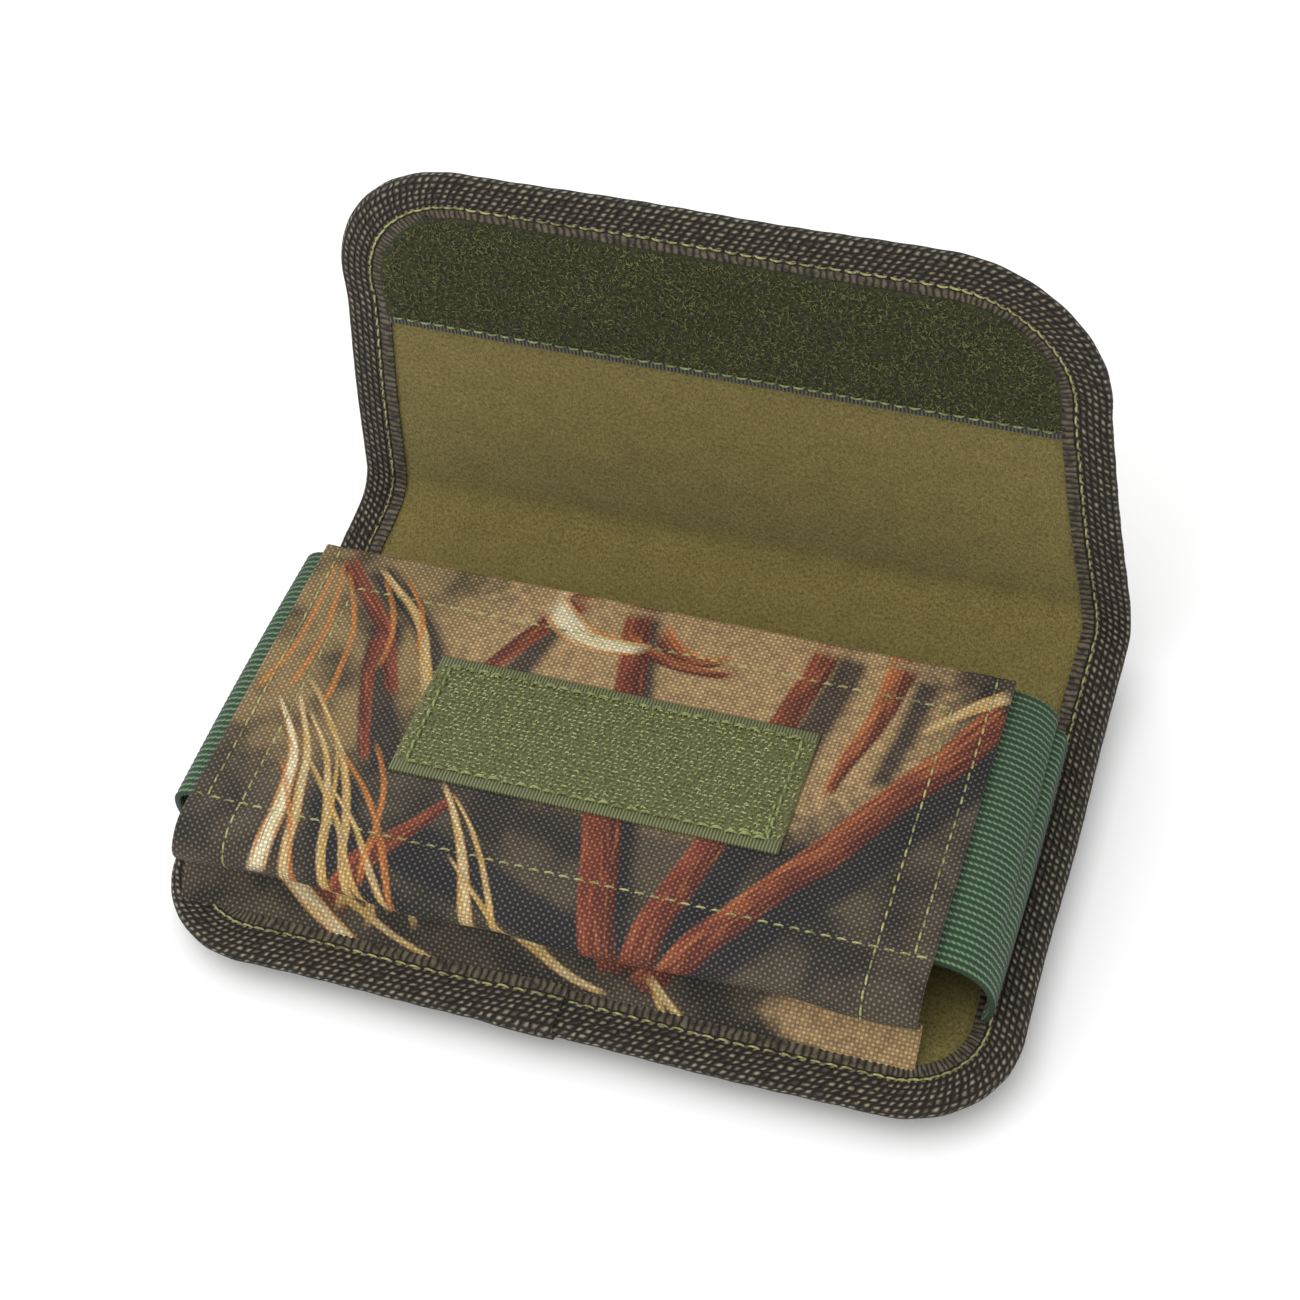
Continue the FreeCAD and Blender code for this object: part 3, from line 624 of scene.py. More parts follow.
def binding_tape():
    f = Finish("tape_weave", Roughness=0.72, Specular_IOR_Level=0.25, Sheen_Weight=0.03,
               Sheen_Roughness=0.5)
    along, across = f.cut_map()
    stray = f.noise(f.at(along, across, 5.0), 0.55, 1.0) - 0.5
    along, across = along + stray * 1.1, across + stray * 0.5
    # slanting rows of crowns
    row = across * (1 / 1.3)
    step = (row * math.pi).sine()
    slant = ((along * (1 / 1.85) + across * (0.5 / 1.3)) * math.pi).sine()
    crown = (abs(step) ** 0.6) * (abs(slant) ** 0.9)
    rib = abs((along * (math.pi / 1.5)).sine()) ** 0.7 * 0.6 + 0.35
    middle = TAPE_ACROSS / 2
    inner = (abs(across - middle) * -1.0 + (middle - 2.5)).between(-0.25, 0.25)
    height = crown * inner + rib * (1 - inner)
    worn = f.noise(f.at(along, across), 0.5, 3.0)
    grain = f.noise(f.at(along * 0.4, across * 2.0), 2.0, 2.0)
    yarn = f.mix((grain * 0.5 + worn * 0.5).between(0.3, 0.7), shade(44, 39, 32), shade(72, 64, 53))
    # the yarns are tinted by their height: painted shade in the hollows, painted highlight on the
    # crowns
    colour = f.tint(yarn, height + 0.26)
    # the highest crowns are mixed towards pale tan, partly the yarn's colour and partly painted
    # highlight
    pale = (height - 0.62).clear() * (1 / 0.38) * (worn.between(0.3, 0.62)) * (inner * 0.5 + 0.35)
    colour = f.mix(pale * 0.8, colour, shade(176, 166, 138))
    return f.done(colour, height, depth=0.0007, strength=1.0)


def ribbed_elastic():
    f = Finish("green_elastic", Roughness=0.72, Specular_IOR_Level=0.3, Sheen_Weight=0.15)
    across, along = f.cut_map()
    rib = ((along * (TAU / RIB)).sine() * 0.5 + 0.5)
    zig = ((along * (1 / RIB)).fold_back(0.5) * 0.8 + across * (1 / 1.1)) * math.pi
    knit = abs(zig.sine())
    height = rib * 0.35 + knit * rib * 0.65
    grain = f.noise(f.at(across * 3.0, along), 1.2, 2.0)
    # colour follows the ribs' height: painted shade in the grooves, painted highlight on the
    # crowns; grain varies it at random
    colour = f.mix(height.between(0.15, 0.95), shade(32, 54, 36), shade(106, 138, 98))
    colour = f.tint(colour, grain * 0.5 + 0.9)
    return f.done(colour, height, depth=0.0004, strength=0.8)


def hook_tape():
    f = Finish("hook_tape_cloth", Roughness=0.6, Specular_IOR_Level=0.4)
    u, v = f.cut_map()
    rib = (u * (TAU / 0.66)).sine() * 0.5 + 0.5
    edge = (abs(v) - 12.9).between(-0.2, 0.2)
    grain = f.noise(f.at(u, v), 1.6, 3.0)
    height = rib * edge + grain * (1 - edge)
    colour = f.mix(height.between(0.2, 0.8), shade(66, 70, 38), shade(112, 116, 72))
    # the ribbed selvedges are coloured by rib: painted shade between ribs, painted highlight on
    # them
    colour = f.mix(edge, colour, f.mix(rib, shade(66, 70, 42), shade(128, 132, 92)))
    return f.done(colour, height, depth=0.0003, strength=0.8)


def plastic_hooks():
    f = Finish("hook_bristle", Roughness=0.38, Specular_IOR_Level=0.5)
    grain = f.noise(f.object_place(), 900.0, 1.0)
    colour = f.mix(grain.between(0.35, 0.65), shade(104, 108, 56), shade(176, 178, 120))
    return f.done(colour, grain, depth=0.00005, strength=0.3)


def loop_ground():
    f = Finish("loop_ground", Roughness=0.95, Specular_IOR_Level=0.1, Sheen_Weight=0.2)
    u, v = f.cut_map()
    nap = f.noise(f.at(u, v), 1.1, 4.0, 0.7)
    rib = (u * (TAU / 0.8)).sine() * 0.5 + 0.5
    edge = (v - 1.5).between(0.25, -0.25)
    colour = f.mix(nap.between(0.3, 0.7), shade(22, 25, 10), shade(66, 70, 33))
    # the ribbed hem is coloured by rib: painted shade between ribs, painted highlight on them
    hem = f.mix(rib, shade(34, 38, 36), shade(96, 98, 88))
    colour = f.mix(edge, colour, hem)
    return f.done(colour, nap * (1 - edge) + rib * edge, depth=0.0006, strength=0.6)


def loop_pile():
    f = Finish("loop_pile", Roughness=0.7, Specular_IOR_Level=0.25, Sheen_Weight=0.25)
    patch = f.noise(f.object_place(), 110.0, 3.0)
    fibre = f.noise(f.object_place(), 1300.0, 1.0)
    colour = f.mix(fibre.between(0.42, 0.6), shade(50, 54, 22), shade(118, 118, 66))
    colour = f.tint(colour, patch * 1.5 + 0.1)
    return f.done(colour, fibre, depth=0.00005, strength=0.2)


def webbing():
    f = Finish("belt_webbing_cloth", Roughness=0.72, Specular_IOR_Level=0.3, Sheen_Weight=0.1)
    across, along = f.cut_map()
    rib = abs((along * (math.pi / 1.2)).sine()) ** 0.7
    cord = abs(((across * (1 / 2.4)) * math.pi).sine()) ** 0.5
    vee = abs(((across * (1 / 1.2) + along * (0.5 / 1.2)) * math.pi).sine())
    height = rib * 0.5 + cord * 0.2 + vee * 0.3
    worn = f.noise(f.at(across, along), 0.5, 3.0)
    # colour follows the weave's height: painted shade in its hollows, painted highlight on its ribs
    colour = f.mix(height.between(0.2, 0.95), shade(30, 27, 23), shade(84, 76, 62))
    colour = f.tint(colour, worn * 0.5 + 0.75)
    return f.done(colour, height, depth=0.0004, strength=0.8)


def thread(name, dark, pale):
    f = Finish(name, Roughness=0.5, Specular_IOR_Level=0.4, Sheen_Weight=0.1)
    place = f.object_place()
    ply = f.noise(place, 1500.0, 1.0)
    along = f.noise(place, 140.0, 2.0)
    colour = f.mix((ply * 0.55 + along * 0.45).between(0.36, 0.62), dark, pale)
    return f.done(colour, ply, depth=0.00008, strength=0.4)


LINING, TAPE_CLOTH, ELASTIC = brushed_lining(), binding_tape(), ribbed_elastic()
HOOK_TAPE, HOOKS = hook_tape(), plastic_hooks()
LOOP_GROUND, LOOP_PILE, WEBBING = loop_ground(), loop_pile(), webbing()
THREAD = thread("sewing_thread", shade(102, 102, 54), shade(174, 172, 112))
GREEN_THREAD = thread("green_sewing_thread", shade(92, 99, 52), shade(146, 156, 98))

# %% [markdown]
# ## The long panel
# Printed cloth outside and brushed lining inside. The stiffening board is shut in between them
# and never seen, so it isn't drawn and the cloth stands for it. Each layer starts as a flat disc,
# whose four quarters are drawn out to the corners: that leaves every corner truly round and the
# flap's sides drawn in. (Rounding a plane's corners with the bevel tool was tried first, and it
# gave one sheet half a million triangles.) The sheet is then cut across so finely that it folds
# smoothly. It is parted in the middle of the spine, because each half bends over one fold only.

# %% Cutting the panel's layers
def every(a, b, step):
    return list(np.linspace(a, b, max(2, round((b - a) / step) + 1))[1:-1])


def cut_rounded(name, low_half, high_half, s0, s1, low_round, high_round):
    """A sheet with round corners: a disc whose quarters are drawn out to the four corners."""
    let_go()
    bpy.ops.mesh.primitive_circle_add(vertices=64, radius=1, fill_type="NGON",
                                      rotation=(0, 0, TAU / 128))
    sheet = bpy.context.object
    sheet.name = sheet.data.name = name
    bpy.ops.object.transform_apply(rotation=True)
    edit(sheet)
    for side in (-1, 1):
        for end, half, r, s in ((-1, low_half, low_round, s0 + low_round),
                                (1, high_half, high_round, s1 - high_round)):
            pick(sheet, lambda p: p.length < 1.01 and p.x * side > 0 and p.y * end > 0)
            bpy.ops.transform.resize(value=(r, r, 1), center_override=(0, 0, 0))
            bpy.ops.transform.translate(value=(side * (half - r), s + 2 * s1, 0))
    bpy.ops.mesh.select_all(action="SELECT")
    bpy.ops.transform.translate(value=(0, -2 * s1, 0))
    return sheet


def cut_panel(name, inset, part):
    half = HALF - inset
    sheet = cut_rounded(name, half, half - TAPER, inset, LONG - inset, BACK_ROUND - inset,
                        FLAP_ROUND - inset)
    slice_up(1, [FLAP_S])
    pick(sheet, lambda p: abs(p.y - FLAP_S) < 0.01)
    shape = bmesh.from_edit_mesh(sheet.data)
    drawn = half / max(abs(v.co.x) for v in shape.verts if v.select)
    bpy.ops.transform.resize(value=(drawn, 1, 1), center_override=(0, 0, 0))
    slice_up(0, every(-half, half, 5))
    fold_s = FIRST[0] - EDGE if part == "lower" else FLAP_S
    if part == "lower":
        slice_up(1, [SPINE_S], clear_outer=True)
        slice_up(1, every(0, fold_s - 14, 5) + every(fold_s - 14, SPINE_S, 1.2))
    else:
        slice_up(1, [SPINE_S], clear_inner=True)
        slice_up(1, every(SPINE_S, fold_s + 14, 1.0) + every(fold_s + 14, LONG, 5))
    leave()
    return sheet


REACH = 9.0                                         # a fold bends this far each side of its line
SPINE_WAY = (SECOND - FIRST) / np.linalg.norm(SECOND - FIRST)


def row_point(y, z):
    return (0.0, y * MM, z * MM)


BENDS = {
    "lower": ("pouch", "spine", row_point(FIRST[0] - REACH, FIRST[1]),
              row_point(*(FIRST + SPINE_WAY * REACH))),
    "upper": ("spine", "flap", row_point(*(SECOND - SPINE_WAY * REACH)),
              row_point(SECOND[0], SECOND[1] + REACH)),
}

# %% Cloth and lining
for part in ("lower", "upper"):
    home = ("back", "spine") if part == "lower" else ("flap",)
    for layer, inset, base, finish, slot in (
            ("cloth", 0.9, -STACK, PRINTED, "printed_cloth"),
            ("lining", 1.1, STACK - 0.6, LINING, "lining")):
        sheet = cut_panel("%s_%s" % (part, layer), inset, part)
        # the print is turned over, so that the flap doesn't repeat the front below it
        lay_map(sheet, lambda p: np.stack([75 - p[:, 0], p[:, 1] - 110], 1))
        p = points_of(sheet)
        move_points(sheet, panel(p[:, 0], p[:, 1], base))
        apply(sheet, "SOLIDIFY", thickness=0.6, offset=1)
        hides = ["%s_%s" % (h, layer) for h in home]
        if layer == "cloth":
            hides += [h + "_board" for h in home]
        settle(sheet, finish, bend=BENDS[part], hides=hides)

# %% [markdown]
# ## The binding
# A strip of tape with plain ribs along its two inner edges, a furrow where the seam pulls it in,
# and crowns between. It is laid out flat, given that relief, and folded over the edge; a skin is
# then given to it inwards. It is parted in the middle of the spine, as the panel is. A real strip
# meets itself at the middle of the bottom edge; here it runs on, under a lap of the same tape.

# %% Tape
def relief(a, c):
    inner = np.minimum(c, TAPE_ACROSS - c)
    rib = np.cos(a * TAU / 1.5) * np.clip((2.5 - inner) / 0.5, 0, 1)
    furrow = np.exp(-((inner - SEAM_IN) / 0.65) ** 2)
    return 0.10 * rib - 0.22 * furrow + 0.05 * np.sin(a * 0.8) * np.sin(c * 0.9)


def fold_tape(name, a0, a1, raised=None):
    strip = cut_sheet(name, a0, a1, 0, TAPE_ACROSS, 0.5, 0.85)
    lay_map(strip)
    p = points_of(strip)
    lift = relief(p[:, 0], p[:, 1]) + (raised(p[:, 0]) if raised else 0)
    move_points(strip, on_tape(p[:, 0], p[:, 1], lift))
    apply(strip, "SOLIDIFY", thickness=0.55, offset=1)
    return strip


settle(fold_tape("binding_lower", -SPLIT, SPLIT), TAPE_CLOTH,
       bend=BENDS["lower"],
       hides=("back_binding", "spine_binding_left", "spine_binding_right"))
settle(fold_tape("binding_upper", SPLIT, AROUND - SPLIT), TAPE_CLOTH,
       bend=BENDS["upper"], hides=("flap_binding",))
LAP = (-15.0, 1.0)
settle(fold_tape("binding_lap", *LAP, raised=lambda a: 0.05 + 0.6 * np.clip(
    (a - LAP[0]) / 9, 0, 1)), TAPE_CLOTH, body="pouch")

# %% The binding's seam, seen on both faces
for part, a0, a1, hides in (
        ("lower", -SPLIT, SPLIT, ("back_binding_thread", "spine_thread_left",
                                  "spine_thread_right")),
        ("upper", SPLIT, AROUND - SPLIT, ("flap_binding_thread",))):
    rows = []
    for c in (SEAM_IN, TAPE_ACROSS - SEAM_IN):
        if part == "upper":
            rows.append(seam(on_tape, (a0, c), (a1, c), -0.02))
        else:
            rows += [seam(on_tape, (a0, c), (LAP[0] + 2, c), -0.02),
                     seam(on_tape, (LAP[0] + 2, c), (LAP[1] - 0.5, c), 0.5),
                     seam(on_tape, (LAP[1] + 0.5, c), (a1, c), -0.02)]
    settle(set_copies("binding_seam_" + part, STITCH, rows), THREAD,
           bend=BENDS[part], hides=hides)

# %% [markdown]
# ## The loop strip
# Brushed loop tape across the free end of the flap. The backing is a disc drawn out in the same
# way, with two round corners. The pile is some eight thousand short bent fibres of three flat
# sides, set at random, of uneven length and denser in patches, as a used pile is.

# %% Backing
STRIP_TALL = high("loop_strip")[2] - low("loop_strip")[2]
STRIP_TOP = LONG - TAPE_WIDE + 0.4
STRIP_LOW = STRIP_TOP - STRIP_TALL
STRIP_HALF = high("loop_strip")[0] + 0.5
STRIP_ROUND = FLAP_ROUND - TAPE_WIDE

strip = cut_rounded("loop_strip_backing", STRIP_HALF, STRIP_HALF, STRIP_LOW, STRIP_TOP, 0.3,
                    STRIP_ROUND)
slice_up(0, every(-STRIP_HALF, STRIP_HALF, 4))
slice_up(1, [STRIP_LOW + 1.4] + every(STRIP_LOW + 1.4, STRIP_TOP, 4))
leave()
lay_map(strip, lambda p: p[:, :2] - [0, STRIP_LOW])
p = points_of(strip)
move_points(strip, panel(p[:, 0], p[:, 1], STACK - 0.05))
apply(strip, "SOLIDIFY", thickness=0.95, offset=1)
settle(strip, LOOP_GROUND, body="flap", hides=("loop_strip",))

# %% Pile
random.seed(7)
let_go()
bpy.ops.mesh.primitive_cylinder_add(vertices=3, radius=0.075, depth=1.5)
fibre = bpy.context.object
edit(fibre)
slice_up(2, [-0.25, 0.25])
leave()
p = points_of(fibre)
t = (p[:, 2] + 0.75) / 1.5
bow = t * 2.0                                       # radians turned from root to tip
move_points(fibre, np.stack([0.62 * (1 - np.cos(bow)) + p[:, 0] * np.cos(bow), p[:, 1],
                             0.62 * np.sin(bow) + 0.1 - p[:, 0] * np.sin(bow)], 1))


def in_strip(x, s, margin):
    """Inside the strip's outline by this margin."""
    if not (abs(x) < STRIP_HALF - margin and STRIP_LOW + 1.7 < s < STRIP_TOP - margin):
        return False
    cx, cs = STRIP_HALF - STRIP_ROUND, STRIP_TOP - STRIP_ROUND
    return not (abs(x) > cx and s > cs and math.hypot(abs(x) - cx, s - cs) > STRIP_ROUND - margin)


def scatter(count):
    spots = []
    while len(spots) < count:
        x = random.uniform(-STRIP_HALF, STRIP_HALF)
        s = random.uniform(STRIP_LOW, STRIP_TOP)
        clump = (0.5 + 0.25 * math.sin(x * 0.9 + 2 * math.sin(s * 0.5))
                 + 0.25 * math.sin(s * 1.3 + x * 0.4))
        if in_strip(x, s, 0.5) and random.random() < 0.45 + 0.55 * clump:
            spots.append((x, s, random.uniform(0, TAU), random.gauss(0, 0.25),
                          random.uniform(0.75, 1.25)))
    return np.array(spots)


def tufts(spots, lift):
    x, s, spin, tilt, size = spots.T
    here, ahead, across, out = axes_at(panel, x, s, lift, (1, 0))
    cos, sin = np.cos(spin)[:, None], np.sin(spin)[:, None]
    one, two = ahead * cos + across * sin, across * cos - ahead * sin
    lean = out + one * tilt[:, None]
    return here, one * size[:, None], two * size[:, None], lean * size[:, None] * 0.85


settle(set_copies("loop_strip_pile", fibre, [tufts(scatter(8200), STACK + 0.75)]), LOOP_PILE,
       body="flap")
bpy.data.objects.remove(fibre)
settle(set_copies("loop_strip_seam", STITCH, [
    seam(panel, (-STRIP_HALF + 1, STRIP_LOW + 1.9), (STRIP_HALF - 1, STRIP_LOW + 1.9),
         STACK + 1.3)]), GREEN_THREAD, body="flap", hides=("loop_strip_thread",))

# %% [markdown]
# ## The front
# One cloth runs from the mouth's hem across the front, over a soft fold, and down a creased wall
# to the bottom binding. It is a fine grid folded over a free curve. Where seams cross it they
# pull it in, and between them it swells a little, so those are moved in code: no operator knows
# where the seams are. Behind it lies its own lining.

# %% The front's side-on line, from the foot up
F_LEFT, F_RIGHT = low("front_cloth")[0], high("front_cloth")[0]
MOUTH = high("front_cloth")[1]
F_TOP = high("front_cloth")[2]
INNER_EDGE = EDGE + TAPE_WIDE
Z_TAPE = MID + TAPE
front_line = free_curve([
    (INNER_EDGE - 1.3, Z_TAPE - 0.6), (INNER_EDGE + 0.1, Z_TAPE + 0.2),
    (INNER_EDGE + 2.0, Z_TAPE + 2.0), (INNER_EDGE + 4.1, Z_TAPE + 4.1),
    (INNER_EDGE + 5.2, Z_TAPE + 5.8), (INNER_EDGE + 4.2, Z_TAPE + 7.5),
    (INNER_EDGE + 2.0, Z_TAPE + 10.0), (INNER_EDGE + 1.3, Z_TAPE + 12.5),
    (INNER_EDGE + 2.3, F_TOP - 3.3), (INNER_EDGE + 4.9, F_TOP - 1.25),
    (INNER_EDGE + 8.1, F_TOP - 0.25), (INNER_EDGE + 12.0, F_TOP), (-36.0, F_TOP), (-20.0, F_TOP),
    (0.0, F_TOP), (15.0, F_TOP), (MOUTH, F_TOP)])
front = Fold(front_line)
F_LONG = front.length


def front_s(y):
    """Place on the front's flat cut of a point on its level part."""
    return F_LONG - (MOUTH - y)


TOP_SEAM, BOTTOM_SEAM = front_s(18.4), front_s(-41.7)
OUT_LEFT, IN_LEFT = F_LEFT + 3.6, F_LEFT + 10.8
OUT_RIGHT, IN_RIGHT = F_RIGHT - 3.6, F_RIGHT - 10.8
# the place on the wall nearest the crease's height; a big penalty rules out the level part
off_crease = np.abs(np.array(front.z) - (Z_TAPE + 5.6)) + (np.array(front.y) > -47) * 99
CREASE_S = front.s[np.argmin(off_crease)]
print("front", round(F_LONG, 1), "mm long, crease at", round(CREASE_S, 1))


def swell(x, s):
    """How far the front's cloth stands off its line."""
    pull = (np.exp(-((s - TOP_SEAM) / 0.9) ** 2) * (x > IN_LEFT) * (x < IN_RIGHT)
            + np.exp(-((s - BOTTOM_SEAM) / 0.9) ** 2))
    for place, start in ((OUT_LEFT, BOTTOM_SEAM), (OUT_RIGHT, BOTTOM_SEAM),
                         (IN_LEFT, CREASE_S), (IN_RIGHT, CREASE_S)):
        pull = pull + np.exp(-((x - place) / 0.9) ** 2) * (s > start)
    u = np.clip((x - IN_LEFT) / (IN_RIGHT - IN_LEFT), 0, 1)
    v = np.clip((s - BOTTOM_SEAM) / (TOP_SEAM - BOTTOM_SEAM), 0, 1)
    belly = 0.35 * np.sin(u * math.pi) ** 0.5 * np.sin(v * math.pi) ** 0.5
    wall = np.clip((BOTTOM_SEAM - s) / 8, 0, 1) * np.clip(s / 6, 0, 1)
    ripple = wall * (0.45 * np.sin(x / 7.3 + 0.8 * np.sin(x / 13 + s / 9))
                     + 0.3 * np.sin(x / 17.0 + s / 6))
    return belly + ripple - 0.28 * np.clip(pull, 0, 1.2)


def on_front(x, s, lift=0.0):
    return front(x, s, swell(np.asarray(x, float), np.asarray(s, float)) + lift)


# %% Its cloth
HEM, LINING_LOW = 0.6, -44.0                        # the lining's gap at the edges, its start in y
cover = cut_sheet("front_cover", F_LEFT, F_RIGHT, 0, F_LONG, 1.3, 1.1)
lay_map(cover, lambda p: np.stack([p[:, 0] - F_LEFT, p[:, 1]], 1))
p = points_of(cover)
stiff = cover.vertex_groups.new(name="stiffened")
for i, s in enumerate(p[:, 1]):
    stiff.add([i], 0.5 + 0.5 * min(1, max(0, (s - BOTTOM_SEAM + 3) / 4)), "REPLACE")
move_points(cover, on_front(p[:, 0], p[:, 1]))
apply(cover, "SOLIDIFY", thickness=1.5, offset=-1, vertex_group="stiffened",
      thickness_vertex_group=0.0)
apply(cover, "BEVEL", width=0.5, segments=2, limit_method="ANGLE", angle_limit=math.radians(60))
settle(cover, PRINTED, body="pouch",
       hides=("front_cloth", "front_board", "bottom_wall"), angle=80)

inner = cut_sheet("front_lining_sheet", F_LEFT + HEM, F_RIGHT - HEM, front_s(LINING_LOW),
                  F_LONG - HEM, 5, 5)
lay_map(inner)
p = points_of(inner)
move_points(inner, front(p[:, 0], p[:, 1], -2.0))
apply(inner, "SOLIDIFY", thickness=0.5, offset=1)
settle(inner, LINING, body="pouch", hides=("front_lining",))

# %% Its seams
rows = [seam(on_front, (IN_LEFT, TOP_SEAM), (IN_RIGHT, TOP_SEAM), 0.06),
        seam(on_front, (F_LEFT + 0.8, BOTTOM_SEAM), (F_RIGHT - 0.8, BOTTOM_SEAM), 0.06)]
for x in (OUT_LEFT, OUT_RIGHT):
    rows.append(seam(on_front, (x, BOTTOM_SEAM), (x, F_LONG - 0.8), 0.06))
for x in (IN_LEFT, IN_RIGHT):
    rows.append(seam(on_front, (x, CREASE_S + 1.5), (x, TOP_SEAM), 0.06))
settle(set_copies("front_seams", STITCH, rows), THREAD, body="pouch",
       hides=("front_thread",))

# %% [markdown]
# ## The hook patch
# A piece of hook tape with ribbed edges above and below, sewn on all round. Its field is rows of
# small hooks, each a thin four-sided bristle bent over.

# %% Tape, hooks and seam
H_LEFT, H_RIGHT = low("hook_patch")[0], high("hook_patch")[0]
H_LOW, H_HIGH = front_s(low("hook_patch")[1]), front_s(high("hook_patch")[1])
H_MID = (H_LOW + H_HIGH) / 2
SELVEDGE = 2.6


def on_patch(x, s, lift=0.0):
    return on_front(x, s, lift + 0.7)


tape = cut_sheet("hook_patch_tape", H_LEFT, H_RIGHT, H_LOW, H_HIGH, 2, 1.3)
lay_map(tape, lambda p: np.stack([p[:, 0], p[:, 1] - H_MID], 1))
p = points_of(tape)
move_points(tape, on_front(p[:, 0], p[:, 1], -0.05))
apply(tape, "SOLIDIFY", thickness=0.75, offset=1)
apply(tape, "BEVEL", width=0.15, segments=1, limit_method="ANGLE", angle_limit=math.radians(60))
settle(tape, HOOK_TAPE, body="pouch", hides=("hook_patch",))

let_go()
bpy.ops.mesh.primitive_cylinder_add(vertices=4, radius=0.15, depth=1.4)
hook = bpy.context.object
edit(hook)
slice_up(2, [-0.3, 0.05, 0.4])
leave()
p = points_of(hook)
t = (p[:, 2] + 0.7) / 1.4
bow = np.clip(t - 0.3, 0, 1) * 3.6
CURL = 0.3                                          # radius of a hook's bend
move_points(hook, np.stack([
    CURL * (1 - np.cos(bow)) + p[:, 0] * np.cos(bow), p[:, 1],
    np.minimum(t, 0.3) * 1.3 + CURL * np.sin(bow) - p[:, 0] * np.sin(bow)], 1))
END_SEAM = 2.9                                      # the seam, from the patch's two ends
rows_at = np.arange(H_LOW + SELVEDGE + 0.75, H_HIGH - SELVEDGE - 0.5, 1.02)
field = [(x + 0.5 * (k % 2) + random.uniform(-0.12, 0.12), s + random.uniform(-0.1, 0.1),
          random.choice((0, math.pi)) + random.gauss(0.4, 0.35), random.uniform(0.85, 1.1))
         for k, s in enumerate(rows_at)
         for x in np.arange(H_LEFT + 0.6, H_RIGHT - 0.9, 1.06)
         if min(abs(x - H_LEFT - END_SEAM), abs(x - H_RIGHT + END_SEAM)) > 0.5]


def bristles(spots):
    x, s, spin, size = np.array(spots).T
    here, ahead, across, out = axes_at(on_patch, x, s, -0.05, (1, 0))
    cos, sin = np.cos(spin)[:, None], np.sin(spin)[:, None]
    return (here, (ahead * cos + across * sin) * size[:, None],
            (across * cos - ahead * sin) * size[:, None], out * size[:, None])


settle(set_copies("hook_patch_hooks", hook, [bristles(field)]), HOOKS, body="pouch")
bpy.data.objects.remove(hook)
x0, x1 = H_LEFT + END_SEAM, H_RIGHT - END_SEAM
s0, s1 = H_LOW + SELVEDGE, H_HIGH - SELVEDGE
rows = [seam(on_patch, a, b, 0.42, 2.9, 0.1) for a, b in (
    ((x0, s0), (x1, s0)), ((x1, s0), (x1, s1)), ((x1, s1), (x0, s1)), ((x0, s1), (x0, s0)),
    ((x1 - 0.5, s0 + 0.7), (x1 - 0.9, s0 + 9)), ((x1 - 6, s0 + 0.8), (x1 - 0.5, s0 + 0.5)))]
settle(set_copies("hook_patch_seam", THICK_STITCH, rows), GREEN_THREAD, body="pouch",
       hides=("hook_patch_thread",))

# %% [markdown]
# ## The gussets
# Wide ribbed elastic, tucked in under the front's side, bowed out and brought down onto the
# inner edge of the binding. The ribs are real: a fine grid with a wave every row, folded over
# the elastic's own end-on line. The mouth end runs on a slant, and a crease deepens towards it.

# %% Elastic
G_TOP, G_LOW, SLANT = 28.05, -40.45, 5.0            # mouth end, bottom end, slant at the mouth


def gusset(name, side, knots, hides):
    # the end-on line runs from the tuck to the foot, and `side` mirrors it for the left
    curve = Fold(free_curve([(side * x, z) for x, z in knots]))
    sheet = cut_sheet(name, 0, curve.length, G_LOW, G_TOP, 1.0, RIB / 4)
    lay_map(sheet)
    p = points_of(sheet)
    c, y = p[:, 0], p[:, 1]
    wave = 0.13 * np.cos(y * TAU / RIB)
    near_mouth = np.clip((y - G_LOW) / (G_TOP - G_LOW), 0, 1)
    crease = -2.0 * near_mouth * np.exp(-((c - curve.length * 0.66) / 1.2) ** 2)
    sag = 0.35 * np.sin((y - G_LOW) / (G_TOP - G_LOW) * math.pi)
    out = (wave + crease + sag) * side
    place = curve(0, c, out)
    depth = np.clip((knots[1][1] - place[:, 2]) / (knots[1][1] - knots[-1][1]), 0, 1)
    move_points(sheet, np.stack([place[:, 1], y - SLANT * depth * near_mouth, place[:, 2]], 1))
    apply(sheet, "SOLIDIFY", thickness=1.1, offset=-side)
    faces_out(sheet)
    sheet["cut_wide"] = float(curve.length)
    return settle(sheet, ELASTIC, body="pouch", hides=hides)


TUCK = high("gusset_right")[2] - 0.1
FOOT = Z_TAPE - 0.3
right = gusset("elastic_right", 1, [
    (60, TUCK), (67, TUCK), (72, TUCK - 0.5), (76.0, TUCK - 2.0), (79.0, TUCK - 4.8),
    (80.5, TUCK - 8.4), (80.7, TUCK - 12.0), (80.0, TUCK - 15.0), (79.2, FOOT)], ("gusset_right",))
left = gusset("elastic_left", -1, [
    (72, TUCK), (80, TUCK), (83.2, TUCK - 0.3), (85.4, TUCK - 1.7), (86.2, TUCK - 4.6),
    (85.6, TUCK - 8.6), (83.4, TUCK - 12.8), (79.2, FOOT)], ("gusset_left",))

# %% [markdown]
# ## The belt loops
# Two bands of webbing on the back, each sewn down at both ends with a box and cross of stitches,
# with room for a belt between. They hold the pouch off the table.

